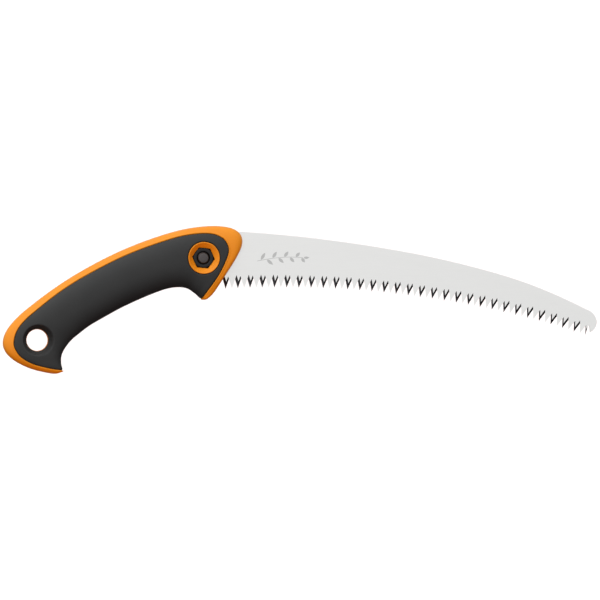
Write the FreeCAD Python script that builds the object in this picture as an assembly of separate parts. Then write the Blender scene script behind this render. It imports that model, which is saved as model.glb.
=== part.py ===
import FreeCAD, Part
import math
import os

# Fixed-blade curved pruning saw with an exchangeable blade.
# The saw lies flat: the blade is in the XY plane, +X runs from the butt to the
# blade's tip, +Y is the back of the blade, +Z is the side with the nut.
# The origin is the centre of the hang hole, on the blade's middle plane.

V = FreeCAD.Vector
os.makedirs("parts", exist_ok=True)

# ---------------------------------------------------------------- dimensions
BOLT_X, BOLT_Y = 143.9, 70.98       # blade bolt axis, from the hang hole
BLADE_T = 1.4                       # blade thickness
TEETH = 61                          # alternately ground teeth
TOOTH_H = 7.0                       # tooth height, tip to gullet
LEAN = 0.10                         # the gullets sit this part of a pitch toward the blade tip
BEVEL_L, BEVEL_R = 1.6, 1.6         # width of the ground bevels: steep flank, sloping flank
BLADE_HOLE_R = 5.25                 # hole for the M10 bolt
PIN_R = 3.0                         # tang locating pin
PIN_X, PIN_Y = -64.5, -15.05         # from the bolt axis

GAP = 0.05                          # tang pocket clearance on each face
POCKET_SIDE = 0.25                  # tang pocket clearance round its edge
GRIP_T = 2.8                        # soft grip thickness over the core
HANG_R = 9.3                        # hang hole
TUBE_R = 12.0                       # moulded eye round the hang hole
TUBE_Z = 2.0                        # its end, where the countersink starts
CSK_SLOPE = 0.40                    # countersink: radius per mm of height
LINER_T = 2.2                       # soft liner of the countersink
BOSS_R = 13.8                       # round boss about the bolt
CONE_Z = 8.4                        # foot of the conical recess, at the hex pocket's flats
CONE_R = 8.7
CONE_TOP_R = 13.2
CONE_TOP_Z = 12.6

BOLT_R = 4.97                       # M10 shank and thread envelope
SLEEVE_IN = 5.25
SLEEVE_OUT = 7.0
SLEEVE_BORE = 7.05
NUT_AF, NUT_H = 17.0, 5.9           # thin M10 nut
NUT_BORE = 5.03
NUT_TURN = -6.0                     # degrees, how the hex pocket stands
NUT_Z0 = 3.1
HEX_AF = 17.4                       # hex pocket
FLANGE_T = 1.5
FLANGE_R = 8.4
HEAD_SEAT = -3.3                    # washer seat in the far half
WASHER_R, WASHER_T = 10.0, 1.9
LOCK_R, LOCK_T = 8.9, 1.9
HEAD_R, HEAD_H = 8.0, 5.2           # low socket head
HEAD_POCKET_R = 10.6
SOCKET_AF, SOCKET_DEEP = 7.0, 4.3   # hex key socket
BOLT_END_Z = 9.3

SCREWS = [(-123.00, -56.92), (-95.50, -30.69), (3.50, -21.98)]     # from the bolt axis
SCREW_R, SCREW_HEAD_R = 1.93, 3.6
SCREW_BORE = 1.95
SCREW_SEAT = -4.6

# Handle outline, from the hook's tip round the butt, along the back and round
# the nose to the front's lower tip.  A is the outer edge, B the belly edge that
# faces it, P the line where the soft grip ends.  All from the bolt axis.
A_PTS = [(-121.60, -99.36), (-126.56, -100.31), (-134.74, -99.61), (-145.24, -97.28),
         (-155.74, -93.38), (-164.05, -88.61), (-170.96, -81.86), (-173.59, -74.84),
         (-172.71, -67.91), (-169.30, -60.98), (-160.99, -51.19), (-150.49, -42.14),
         (-134.74, -30.15), (-113.74, -16.11), (-87.49, -1.48), (-61.24, 10.51),
         (-34.99, 19.93), (-11.36, 25.90), (7.01, 27.76), (20.14, 27.21),
         (28.89, 24.78), (34.75, 19.31), (35.62, 12.65), (32.48, 3.99),
         (24.78, -9.01), (15.85, -22.78), (8.85, -32.39), (5.53, -35.25)]
B_PTS = [(-120.51, -97.46), (-121.16, -95.72), (-122.34, -93.12), (-123.10, -89.57),
         (-123.01, -86.10), (-122.14, -82.64), (-120.65, -79.52), (-118.81, -76.74),
         (-116.54, -73.72), (-113.39, -70.34), (-108.31, -66.18), (-100.61, -60.20),
         (-90.11, -53.80), (-74.36, -45.05), (-55.99, -36.29), (-37.61, -28.85),
         (-24.49, -25.55), (-14.86, -25.90), (-9.61, -27.98), (-6.11, -30.23),
         (-4.01, -31.88), (-2.52, -33.35), (-1.56, -34.30), (-0.86, -35.09),
         (-0.25, -35.69), (0.45, -36.20), (1.33, -36.47), (2.73, -36.55)]
P_PTS = [(-121.97, -97.02), (-126.26, -96.84), (-134.29, -95.72), (-142.66, -93.81),
         (-148.52, -92.08), (-155.10, -88.87), (-161.06, -83.94), (-164.65, -77.78),
         (-165.31, -72.24), (-163.32, -64.45), (-155.96, -54.05), (-145.31, -44.61),
         (-130.87, -33.09), (-109.90, -19.06), (-83.70, -4.85), (-60.07, 5.89),
         (-34.69, 14.90), (-14.52, 20.19), (0.35, 21.61), (9.91, 20.70),
         (15.95, 18.36), (20.36, 14.38), (22.59, 9.19), (22.30, 3.12),
         (17.41, -9.01), (9.35, -22.00), (2.58, -31.35), (-0.09, -35.34)]
# half thickness, and how square the section is, at each station
HALF_T = [7.0, 7.8, 8.8, 9.7, 10.3, 10.8, 11.0, 11.1, 11.3, 11.6, 12.2, 12.8, 13.5, 14.1,
          14.5, 14.6, 14.4, 13.8, 13.2, 12.9, 12.6, 12.3, 12.0, 11.6, 11.0, 9.9, 8.4, 7.0]
SQUARE = [2.6, 2.6, 2.7, 2.8, 2.9, 2.9, 2.9, 2.9, 2.8, 2.7, 2.55, 2.45, 2.35, 2.3,
          2.3, 2.3, 2.35, 2.5, 2.7, 2.9, 3.0, 3.1, 3.1, 3.1, 3.0, 2.9, 2.8, 2.7]

# Blade: its back, the line through the tooth tips, and the round tip.
SPINE = [(37.64, 22.52), (51.64, 21.57), (72.64, 19.75), (93.64, 17.67), (114.64, 15.08),
         (135.64, 12.22), (156.64, 8.92), (177.64, 5.38), (198.64, 1.30), (219.64, -3.38),
         (240.64, -8.57), (261.64, -14.37), (282.64, -21.14), (303.64, -29.20),
         (324.64, -38.55), (338.64, -45.30)]
TIPLINE = [(20.55, -26.71), (42.36, -25.91), (64.33, -25.58), (85.33, -25.83),
           (106.59, -26.35), (127.59, -27.39), (149.20, -29.12), (170.64, -31.38),
           (191.64, -34.15), (212.64, -37.27), (233.90, -40.90), (254.64, -45.06),
           (275.46, -49.83), (295.59, -54.85), (315.98, -61.00), (335.93, -67.24)]
ROUND = [(338.64, -45.30), (341.09, -46.52), (343.10, -48.51), (344.76, -51.19),
         (345.90, -54.49), (345.73, -57.17), (344.76, -60.11), (342.40, -62.81),
         (339.73, -64.65)]


# ------------------------------------------------------------------- splines
def spline(us, ys):
    """Natural cubic spline through (us, ys); returns a function."""
    n = len(us)
    h = [us[i + 1] - us[i] for i in range(n - 1)]
    a = [0.0] * n
    b = [1.0] * n
    c = [0.0] * n
    d = [0.0] * n
    for i in range(1, n - 1):
        a[i] = h[i - 1]
        b[i] = 2 * (h[i - 1] + h[i])
        c[i] = h[i]
        d[i] = 6 * ((ys[i + 1] - ys[i]) / h[i] - (ys[i] - ys[i - 1]) / h[i - 1])
    for i in range(1, n):
        m = a[i] / b[i - 1]
        b[i] -= m * c[i - 1]
        d[i] -= m * d[i - 1]
    s = [0.0] * n
    s[n - 1] = d[n - 1] / b[n - 1]
    for i in range(n - 2, -1, -1):
        s[i] = (d[i] - c[i] * s[i + 1]) / b[i]

    def f(u):
        i = 0
        while i < n - 2 and u > us[i + 1]:
            i += 1
        t = us[i + 1] - u
        w = u - us[i]
        return (s[i] * t ** 3 / (6 * h[i]) + s[i + 1] * w ** 3 / (6 * h[i])
                + (ys[i] / h[i] - s[i] * h[i] / 6) * t
                + (ys[i + 1] / h[i] - s[i + 1] * h[i] / 6) * w)
    return f


def dist(p, q):
    return math.hypot(p[0] - q[0], p[1] - q[1])


US = [0.0]
for i in range(1, len(A_PTS)):
    US.append(US[-1] + max(0.5 * (dist(A_PTS[i], A_PTS[i - 1]) + dist(B_PTS[i], B_PTS[i - 1])), 2.0))
UMAX = US[-1]
fa = [spline(US, [p[k] for p in A_PTS]) for k in (0, 1)]
fb = [spline(US, [p[k] for p in B_PTS]) for k in (0, 1)]
fp = [spline(US, [p[k] for p in P_PTS]) for k in (0, 1)]
fh = spline(US, HALF_T)
fn = spline(US, SQUARE)
STATIONS = []
for i in range(len(US) - 1):
    k = max(1, int(round((US[i + 1] - US[i]) / 4.5)))
    STATIONS += [US[i] + (US[i + 1] - US[i]) * j / k for j in range(k)]
STATIONS.append(UMAX)


def out(x, y, z=0.0):
    """From bolt-axis coordinates to the part's frame."""
    return V(x + BOLT_X, y + BOLT_Y, z)


def section(u, grow_a, grow_b, drop, m=20):
    """Half section over the chord from edge A to edge B."""
    ax, ay = fa[0](u), fa[1](u)
    bx, by = fb[0](u), fb[1](u)
    L = math.hypot(bx - ax, by - ay)
    dx, dy = (bx - ax) / L, (by - ay) / L
    ga = grow_a
    gb = grow_b if grow_b > 0 else max(grow_b, -0.4 * L)
    ax, ay = ax - dx * ga, ay - dy * ga
    bx, by = bx + dx * gb, by + dy * gb
    H, n = fh(u) - drop, fn(u)
    pts = []
    for j in range(m + 1):
        th = math.pi * j / m
        c, s = -math.cos(th), math.sin(th)
        w = math.copysign(abs(c) ** (2 / n), c) if abs(c) > 1e-9 else 0.0
        z = H * max(s, 0.0) ** (2 / n) if 0 < j < m else 0.0
        q = (1 + w) / 2
        pts.append(out(ax + (bx - ax) * q, ay + (by - ay) * q, z))
    return pts


def pillow(grow_a=0.0, grow_b=0.0, drop=0.0):
    """Half of the handle's body, standing on the plane Z = 0."""
    grid = [section(u, grow_a, grow_b, drop) for u in STATIONS]
    top = Part.BSplineSurface()
    top.interpolate(grid)
    f_top = top.toShape()
    u0, u1, v0, v1 = top.bounds()
    s0 = top.uIso(u0)
    s1 = top.uIso(u1)
    ea = top.vIso(v0).toShape()
    eb = top.vIso(v1).toShape()
    e0 = s0.toShape()
    e1 = s1.toShape()
    l0 = Part.makeLine(grid[0][0], grid[0][-1])
    l1 = Part.makeLine(grid[-1][0], grid[-1][-1])
    base = Part.Face(Part.Wire(Part.__sortEdges__([ea, l1, eb, l0])))
    end0 = Part.Face(Part.Wire(Part.__sortEdges__([e0, l0])))
    end1 = Part.Face(Part.Wire(Part.__sortEdges__([e1, l1])))
    sh = Part.makeShell([f_top, base, end0, end1])
    sh.sewShape()
    sol = Part.Solid(sh)
    if sol.Volume < 0:
        sol.reverse()
    return sol


def flip(shape):
    return shape.mirror(V(0, 0, 0), V(0, 0, 1))


def cyl(x, y, r, z0, z1):
    return Part.makeCylinder(r, z1 - z0, out(x, y, z0), V(0, 0, 1))


def cone(x, y, r0, r1, z0, z1):
    return Part.makeCone(r0, r1, z1 - z0, out(x, y, z0), V(0, 0, 1))


def hexagon(x, y, af, z0, z1, turn=0.0):
    r = af / math.sqrt(3)
    pts = []
    for k in range(6):
        a = math.radians(60 * k + turn)
        pts.append(out(x + r * math.cos(a), y + r * math.sin(a), z0))
    return Part.Face(Part.makePolygon(pts + [pts[0]])).extrude(V(0, 0, z1 - z0))


def one(shape, name):
    """The single solid of a boolean result, cleaned."""
    sols = [s for s in shape.Solids if s.Volume > 1.0]
    if len(sols) != 1:
        print(name, "solids:", [round(s.Volume, 1) for s in shape.Solids])
    s = sols[0] if len(sols) == 1 else max(sols, key=lambda q: q.Volume)
    return s


# --------------------------------------------------------------------- blade
def arc_table(pts):
    us = [0.0]
    for i in range(1, len(pts)):
        us.append(us[-1] + dist(pts[i], pts[i - 1]))
    return us, spline(us, [p[0] for p in pts]), spline(us, [p[1] for p in pts])


tu, tx, ty = arc_table(TIPLINE)
FINE = [(tx(tu[-1] * i / 2000.0), ty(tu[-1] * i / 2000.0)) for i in range(2001)]
ACC = [0.0]
for i in range(1, len(FINE)):
    ACC.append(ACC[-1] + dist(FINE[i], FINE[i - 1]))
PITCH = ACC[-1] / (TEETH - 1)


def on_tips(s):
    """Point on the tip line at arc length s, and the normal into the blade."""
    s0 = min(max(s, 0.0), ACC[-1])
    lo, hi = 0, len(ACC) - 1
    while hi - lo > 1:
        mid = (lo + hi) // 2
        if ACC[mid] <= s0:
            lo = mid
        else:
            hi = mid
    t = (s0 - ACC[lo]) / (ACC[hi] - ACC[lo])
    p, q = FINE[lo], FINE[hi]
    L = dist(p, q)
    ex, ey = (q[0] - p[0]) / L, (q[1] - p[1]) / L
    x, y = p[0] + (q[0] - p[0]) * t, p[1] + (q[1] - p[1]) * t
    x, y = x + ex * (s - s0), y + ey * (s - s0)
    return (x, y), (-ey, ex)


def gullet(k):
    p, n = on_tips((k + 0.5 + LEAN) * PITCH)
    return (p[0] + n[0] * TOOTH_H, p[1] + n[1] * TOOTH_H)


def shift_line(p, q, side, w):
    L = dist(p, q)
    nx, ny = -(q[1] - p[1]) / L * side, (q[0] - p[0]) / L * side
    return (p[0] + nx * w, p[1] + ny * w), (q[0] + nx * w, q[1] + ny * w)


def cross(l1, l2):
    (x1, y1), (x2, y2) = l1
    (x3, y3), (x4, y4) = l2
    d = (x1 - x2) * (y3 - y4) - (y1 - y2) * (x3 - x4)
    a = x1 * y2 - y1 * x2
    b = x3 * y4 - y3 * x4
    return ((a * (x3 - x4) - (x1 - x2) * b) / d, (a * (y3 - y4) - (y1 - y2) * b) / d)


# Flank lines: tooth k runs from gullet k-1 down to its tip and up to gullet k.
# Even teeth are ground on the near face, odd ones on the far face.
HEEL = (17.50, -18.41)                # end of the toothed edge, inside the handle
TOE = (338.70, -58.01)                # foot of the last gullet, before the round tip
lines = {"near": [], "far": []}
for k in range(TEETH):
    tip = on_tips(k * PITCH)[0]
    left = gullet(k - 1) if k else (HEEL[0], HEEL[1])
    right = gullet(k) if k < TEETH - 1 else (TOE[0] + 0.0, TOE[1])
    for face in ("near", "far"):
        ground = (k % 2 == 0) == (face == "near")
        full = 1.0 if 0 < k < TEETH - 1 else 0.5          # first and last tooth are shorter
        lines[face].append(shift_line(left, tip, 1, BEVEL_L * full if ground else 0.0))
        lines[face].append(shift_line(tip, right, 1, BEVEL_R * full if ground else 0.0))


def tooth_points(face):
    ls = lines[face]
    pts = []
    for i in range(len(ls) - 1):
        pts.append(cross(ls[i], ls[i + 1]))
    return pts


near_pts = tooth_points("near")
far_pts = tooth_points("far")
# the edge starts and ends at the same point on both faces
start = HEEL
end = TOE
near_poly = [start] + near_pts + [end]
far_poly = [start] + far_pts + [end]


def bs(pts, tangents=None):
    c = Part.BSplineCurve()
    c.interpolate([out(x, y, BLADE_T / 2) for x, y in pts])
    return c.toShape()


gul_c = Part.Arc(out(end[0], end[1], BLADE_T / 2), out(339.90, -61.97, BLADE_T / 2),
                 out(339.73, -64.65, BLADE_T / 2)).toShape()
round_e = bs(list(reversed(ROUND)))
spine_e = bs(list(reversed(SPINE)))
TANG = [(32.00, 22.77), (23.50, 21.98), (15.50, 18.81), (9.50, 14.45), (1.50, 11.78), (-8.50, 9.50),
        (-60.50, -3.96), (-69.00, -8.12)]
TANG_LOW = [(-72.10, -16.43), (-68.00, -24.35), (-59.50, -26.33), (-6.50, -14.26), (3.50, -13.46),
            (10.00, -16.24), (14.50, -19.11)]
top_e = [Part.makeLine(out(*SPINE[0], BLADE_T / 2), out(*TANG[0], BLADE_T / 2)),
         bs(TANG[:6]),
         Part.makeLine(out(*TANG[5], BLADE_T / 2), out(*TANG[6], BLADE_T / 2)),
         Part.Arc(out(*TANG[6], BLADE_T / 2), out(-65.50, -5.64, BLADE_T / 2),
                  out(*TANG[7], BLADE_T / 2)).toShape()]
# open notch at the tang's rear end takes the locating pin
ang = math.atan2(PIN_Y, PIN_X)
nx, ny = math.cos(ang), math.sin(ang)
NR = PIN_R + 0.05
slot_a = (PIN_X - ny * NR, PIN_Y + nx * NR)
slot_b = (PIN_X + ny * NR, PIN_Y - nx * NR)
rear_e = [Part.makeLine(out(*TANG[7], BLADE_T / 2), out(*TANG_LOW[0], BLADE_T / 2)),
          Part.makeLine(out(*TANG_LOW[0], BLADE_T / 2), out(*TANG_LOW[1], BLADE_T / 2)),
          Part.makeLine(out(*TANG_LOW[1], BLADE_T / 2), out(*TANG_LOW[2], BLADE_T / 2)),
          Part.makeLine(out(*TANG_LOW[2], BLADE_T / 2), out(*TANG_LOW[3], BLADE_T / 2)),
          bs(TANG_LOW[3:]),
          Part.makeLine(out(*TANG_LOW[-1], BLADE_T / 2), out(*HEEL, BLADE_T / 2))]
common = [gul_c, round_e, spine_e] + top_e + rear_e


def edge_points(poly, z):
    return [out(x, y, z) for x, y in poly]


n3 = edge_points(near_poly, BLADE_T / 2)
f3 = edge_points(far_poly, -BLADE_T / 2)
near_e = [Part.makeLine(n3[i], n3[i + 1]) for i in range(len(n3) - 1)]
far_e = [Part.makeLine(f3[i], f3[i + 1]) for i in range(len(f3) - 1)]
common_far = [e.translated(V(0, 0, -BLADE_T)) for e in common]
face_near = Part.Face(Part.Wire(Part.__sortEdges__(near_e + common)))
face_far = Part.Face(Part.Wire(Part.__sortEdges__(far_e + common_far)))
walls = [e.extrude(V(0, 0, -BLADE_T)) for e in common]
for i in range(len(n3) - 1):
    a, b, c, d = n3[i], n3[i + 1], f3[i + 1], f3[i]
    quad = [a, b]
    if (c - b).Length > 1e-6:
        quad.append(c)
    if (d - a).Length > 1e-6 and (d - quad[-1]).Length > 1e-6:
        quad.append(d)
    quad.append(a)
    normal = (b - a).cross(c - a)
    if len(quad) < 5 or abs((d - a).dot(normal)) < 1e-6 * normal.Length:
        walls.append(Part.Face(Part.makePolygon(quad)))
    else:
        # an end flank that is not quite flat is two triangles
        walls.append(Part.Face(Part.makePolygon([a, b, c, a])))
        walls.append(Part.Face(Part.makePolygon([a, c, d, a])))
sh = Part.makeShell([face_near, face_far] + walls)
sh.sewShape()
blade = Part.Solid(sh)
if blade.Volume < 0:
    blade.reverse()
print("blade plate valid", blade.isValid(), "volume", round(blade.Volume, 1), "pitch", round(PITCH, 3))
blade = blade.cut(cyl(0, 0, BLADE_HOLE_R, -2, 2))
notch = cyl(PIN_X, PIN_Y, NR, -2, 2)
slot = Part.Face(Part.makePolygon([out(*slot_a, -2), out(slot_a[0] + nx * 15, slot_a[1] + ny * 15, -2),
                                   out(slot_b[0] + nx * 15, slot_b[1] + ny * 15, -2), out(*slot_b, -2),
                                   out(*slot_a, -2)])).extrude(V(0, 0, 4))
blade = one(blade.cut(notch.fuse(slot)), "blade")

# ------------------------------------------------------------------- handle
body = pillow()
inner = pillow(grow_a=0.8, grow_b=-GRIP_T, drop=GRIP_T)
print("body", body.isValid(), round(body.Volume), "inner", inner.isValid(), round(inner.Volume))

# region of the soft grip: inside the line P, open over the belly
pc = Part.BSplineCurve()
pc.interpolate([out(fp[0](u), fp[1](u), -1) for u in STATIONS])
belly = []
belly.append((-7.50, -44.05))
for i in (18, 15, 12, 9, 6, 4, 2, 0):
    ax, ay = A_PTS[i]
    bx, by = B_PTS[i]
    L = dist((ax, ay), (bx, by))
    belly.append((bx + (bx - ax) / L * 10, by + (by - ay) / L * 10))
poly = [out(fp[0](UMAX), fp[1](UMAX), -1)] + [out(x, y, -1) for x, y in belly] + [out(fp[0](0), fp[1](0), -1)]
region = Part.Face(Part.Wire(Part.__sortEdges__(
    [pc.toShape()] + Part.makePolygon(poly).Edges))).extrude(V(0, 0, 20))

HX, HY = -BOLT_X, -BOLT_Y            # hang hole, from the bolt axis
tube = cyl(HX, HY, TUBE_R, 0, TUBE_Z)
csk = cone(HX, HY, HANG_R + 0.25, HANG_R + 0.25 + CSK_SLOPE * 14.0, TUBE_Z, TUBE_Z + 14.0)
liner = cone(HX, HY, HANG_R + 0.25 + LINER_T, HANG_R + 0.25 + LINER_T + CSK_SLOPE * 14.0, TUBE_Z, TUBE_Z + 14.0)
boss = cyl(0, 0, BOSS_R, 0, 20)
grip_near = body.common(region).cut(inner.cut(liner)).cut(boss).cut(tube)
core_near = body.cut(grip_near)
hang = cyl(HX, HY, HANG_R, -30, 30)
grip_near = grip_near.cut(csk).cut(hang)
print("grip half", grip_near.isValid(), [round(s.Volume) for s in grip_near.Solids])
grip_half = one(grip_near, "grip half")
core_half = one(core_near.cut(csk).cut(hang), "core half")
grip_far = flip(grip_half)

# tang pocket, shared by both halves
pocket_w = Part.makePolygon([out(*p, 0) for p in
                      [(61.50, 24.16), (32.00, 23.07), (23.50, 22.37), (15.50, 19.21), (9.50, 14.85), (1.50, 12.18), (-8.50, 9.90),
                       (-60.90, -3.66), (-69.50, -7.82), (-72.60, -16.43), (-68.30, -24.75), (-59.50, -26.83),
                       (-6.50, -14.75), (3.50, -13.96), (10.00, -16.73), (14.90, -19.70), (17.50, -30.69), (61.50, -30.69),
                       (61.50, 24.16)]])
pocket = Part.Face(pocket_w).extrude(V(0, 0, BLADE_T / 2 + GAP))
core_half = core_half.cut(pocket)

# near half: nut recess; far half: head recess
mouth = cone(0, 0, CONE_R, CONE_R + (CONE_TOP_R - CONE_R) * 1.6, CONE_Z,
             CONE_Z + (CONE_TOP_Z - CONE_Z) * 1.6)
near = core_half.cut(mouth)
near = near.cut(hexagon(0, 0, HEX_AF, NUT_Z0 - FLANGE_T, CONE_Z + 2.5, NUT_TURN))
near = near.cut(cyl(0, 0, SLEEVE_BORE, -1, 5))
far = flip(core_half)
far = far.cut(flip(mouth))
far = far.cut(cyl(0, 0, HEAD_POCKET_R, -CONE_Z - 2.5, HEAD_SEAT))
far = far.cut(cyl(0, 0, SLEEVE_BORE, -5, 1))

# locating pin, pressed 6 mm into each half
near = near.cut(cyl(PIN_X, PIN_Y, PIN_R, -1, 6.0))
far = far.cut(cyl(PIN_X, PIN_Y, PIN_R, -6.0, 1))
tang_pin = cyl(PIN_X, PIN_Y, PIN_R, -5.8, 5.8)
tang_pin = tang_pin.makeChamfer(0.4, [e for e in tang_pin.Edges if e.Curve.TypeId == "Part::GeomCircle"])

# weight-saving pockets between ribs, moulded from the parting face
RIBS = [
    [(-114.50, -47.52), (-105.00, -40.59), (-102.50, -48.02), (-110.50, -53.95)],
    [(-126.50, -43.06), (-118.00, -36.63), (-109.50, -43.06), (-119.00, -50.49)],
    [(-111.00, -34.65), (-102.00, -26.73), (-99.00, -24.25), (-106.50, -37.62)],
    [(-90.50, -25.74), (-82.50, -21.78), (-84.50, -33.66), (-89.00, -36.13)],
    [(-90.00, -20.29), (-78.50, -15.84), (-76.50, -6.43), (-91.50, -14.36)],
    [(-72.50, -2.48), (-60.50, 1.48), (-56.50, 5.45), (-70.50, -0.99)],
    [(-53.50, 0.00), (-34.50, 4.95), (-32.50, 12.87), (-53.50, 5.45)],
    [(-28.50, 6.93), (-15.00, 10.89), (-16.50, 17.32), (-28.50, 14.36)],
    [(-56.00, -29.20), (-39.50, -25.44), (-40.50, -26.23), (-53.50, -30.69)],
]


def ribs(h):
    cells = []
    for poly in RIBS:
        cx = sum(p[0] for p in poly) / len(poly)
        cy = sum(p[1] for p in poly) / len(poly)
        w = Part.makePolygon([out(*p) for p in poly] + [out(*poly[0])])
        f = Part.Face(w)
        cells.append(f.extrude(V(0, 0, h)))
    return cells


for cell in ribs(6.5):
    if cell.Volume > 100:
        near = near.cut(cell)
        far = far.cut(flip(cell))

# screws that hold the halves, driven from the far side under the grip
screws = []
for sx, sy in SCREWS:
    far = far.cut(cyl(sx, sy, SCREW_R + 0.25, -20, 1))
    far = far.cut(cyl(sx, sy, SCREW_HEAD_R + 0.2, -20, SCREW_SEAT))
    near = near.cut(cyl(sx, sy, SCREW_BORE, -1, 7.2))
    s = cyl(sx, sy, SCREW_R, SCREW_SEAT - 0.2, 6.0)
    s = s.fuse(cone(sx, sy, SCREW_R, 1.0, 6.0, 6.9))
    head = cyl(sx, sy, SCREW_HEAD_R, SCREW_SEAT - 2.4, SCREW_SEAT)
    s = s.fuse(head)
    # six-lobe drive, simplified to a hex
    s = s.cut(hexagon(sx, sy, 3.0, SCREW_SEAT - 2.5, SCREW_SEAT - 1.1))
    screws.append(s.removeSplitter())
near = one(near, "core near")
far = one(far, "core far")

grip = one(grip_half.fuse(grip_far), "soft grip")

# ----------------------------------------------------------------- hardware
sleeve_near = cyl(0, 0, SLEEVE_OUT, BLADE_T / 2 + GAP, NUT_Z0 - FLANGE_T)
sleeve_near = sleeve_near.fuse(cyl(0, 0, FLANGE_R, NUT_Z0 - FLANGE_T, NUT_Z0)).cut(cyl(0, 0, SLEEVE_IN, -2, 8))
sleeve_near = one(sleeve_near.removeSplitter(), "sleeve near")
sleeve_far = cyl(0, 0, SLEEVE_OUT, HEAD_SEAT, -BLADE_T / 2 - GAP).cut(cyl(0, 0, SLEEVE_IN, -8, 2))

nut = hexagon(0, 0, NUT_AF, NUT_Z0, NUT_Z0 + NUT_H, NUT_TURN)
cut_r = NUT_AF / 2 / math.cos(math.radians(30))
big = Part.makeCone(cut_r + 0.15 + 1.9, NUT_AF / 2 - 0.1, 1.3, out(0, 0, NUT_Z0 + NUT_H - 1.12), V(0, 0, 1))
keep = cyl(0, 0, cut_r + 2, NUT_Z0 - 1, NUT_Z0 + NUT_H - 1.12).fuse(big)
nut = nut.common(keep).cut(cyl(0, 0, NUT_BORE, 0, 12))
nut = nut.cut(cone(0, 0, NUT_BORE, NUT_BORE + 1.1, NUT_Z0 + NUT_H - 1.0, NUT_Z0 + NUT_H + 0.1))
nut = one(nut.removeSplitter(), "nut")

WASHER_Z = HEAD_SEAT - WASHER_T
LOCK_Z = WASHER_Z - LOCK_T
HEAD_Z = LOCK_Z - HEAD_H
head_washer = cyl(0, 0, WASHER_R, WASHER_Z, HEAD_SEAT).cut(cyl(0, 0, SLEEVE_IN, -20, 0))
circ = [e for e in head_washer.Edges if e.Curve.TypeId == "Part::GeomCircle" and e.Curve.Radius > 9]
head_washer = head_washer.makeChamfer(0.3, circ)
lock_washer = cyl(0, 0, LOCK_R, LOCK_Z, WASHER_Z).cut(cyl(0, 0, SLEEVE_IN, -20, 0))
split = Part.makeBox(6, 1.0, 8, out(4, -0.5, LOCK_Z - 3))
split.rotate(out(7, 0, (LOCK_Z + WASHER_Z) / 2), V(1, 0, 0), 25)
lock_washer = one(lock_washer.cut(split), "lock washer")

bolt = cyl(0, 0, BOLT_R, LOCK_Z, BOLT_END_Z - 0.6)
dome = Part.makeCone(BOLT_R, BOLT_R - 0.75, 0.6, out(0, 0, BOLT_END_Z - 0.6), V(0, 0, 1))
headc = Part.makeCylinder(HEAD_R, HEAD_H, out(0, 0, HEAD_Z), V(0, 0, 1))
rim = [e for e in headc.Edges if e.Curve.TypeId == "Part::GeomCircle" and abs(e.BoundBox.ZMax - HEAD_Z) < 0.1]
headc = headc.makeFillet(0.8, rim)
bolt = bolt.fuse(dome).fuse(headc).cut(hexagon(0, 0, SOCKET_AF, HEAD_Z - 1, HEAD_Z + SOCKET_DEEP))
bolt = one(bolt.removeSplitter(), "bolt")

# ------------------------------------------------------------------- export
NODES = {
    "blade": blade,
    "core_half_near": near,
    "core_half_far": far,
    "soft_grip": grip,
    "blade_bolt": bolt,
    "blade_nut": nut,
    "head_washer": head_washer,
    "lock_washer": lock_washer,
    "sleeve_near": sleeve_near,
    "sleeve_far": sleeve_far,
    "tang_pin": tang_pin,
    "core_screws": Part.makeCompound(screws),
}
for name, shape in NODES.items():
    b = shape.BoundBox
    print("%-16s solids %d valid %s vol %9.1f  x %.2f..%.2f y %.2f..%.2f z %.2f..%.2f" % (
        name, len(shape.Solids), shape.isValid(), shape.Volume,
        b.XMin, b.XMax, b.YMin, b.YMax, b.ZMin, b.ZMax))
    shape.exportStep("parts/" + name + ".step")
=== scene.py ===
import math

import bmesh
import bpy
import numpy as np
from mathutils import Matrix, Vector
from mathutils.geometry import delaunay_2d_cdt


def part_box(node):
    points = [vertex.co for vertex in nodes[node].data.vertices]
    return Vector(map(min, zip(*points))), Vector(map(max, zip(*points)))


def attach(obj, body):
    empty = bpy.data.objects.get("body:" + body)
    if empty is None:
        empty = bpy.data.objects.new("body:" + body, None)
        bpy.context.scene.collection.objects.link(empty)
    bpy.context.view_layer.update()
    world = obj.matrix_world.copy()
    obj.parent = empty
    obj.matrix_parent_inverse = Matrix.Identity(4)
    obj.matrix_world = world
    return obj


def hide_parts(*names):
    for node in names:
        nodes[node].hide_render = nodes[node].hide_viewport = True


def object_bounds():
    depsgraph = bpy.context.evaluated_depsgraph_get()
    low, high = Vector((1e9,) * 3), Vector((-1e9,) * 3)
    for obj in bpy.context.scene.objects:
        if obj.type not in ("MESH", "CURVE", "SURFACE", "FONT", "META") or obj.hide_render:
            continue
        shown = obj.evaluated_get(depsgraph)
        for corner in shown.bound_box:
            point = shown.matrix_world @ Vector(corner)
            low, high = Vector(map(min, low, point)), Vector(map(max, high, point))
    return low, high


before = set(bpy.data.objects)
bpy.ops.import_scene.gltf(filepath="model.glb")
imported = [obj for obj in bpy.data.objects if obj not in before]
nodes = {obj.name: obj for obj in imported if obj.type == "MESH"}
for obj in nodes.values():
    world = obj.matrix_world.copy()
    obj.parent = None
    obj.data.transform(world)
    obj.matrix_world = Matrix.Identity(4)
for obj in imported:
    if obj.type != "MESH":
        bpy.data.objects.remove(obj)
CAD_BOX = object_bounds()
MM = 0.001
rng = np.random.default_rng(7)

# --------------------------------------------------------------- dimensions
# millimetres, about the blade bolt's axis, as the CAD model has them
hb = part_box("blade_nut")
BX = (hb[0].x + hb[1].x) / 2 / MM
BY = (hb[0].y + hb[1].y) / 2 / MM
HX, HY = -143.9, -70.98
HANG_R = 9.3
GRIP_T = 2.8
BOSS_R = 13.8
BLADE_T = 1.4
TEETH = 61
TOOTH_H = 8.2
LEAN = 0.10
BEVEL_L, BEVEL_R = 2.2, 1.6
NUT_TURN = -6.0
HEX_AF = 17.4
BORE_R = 7.05

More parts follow.
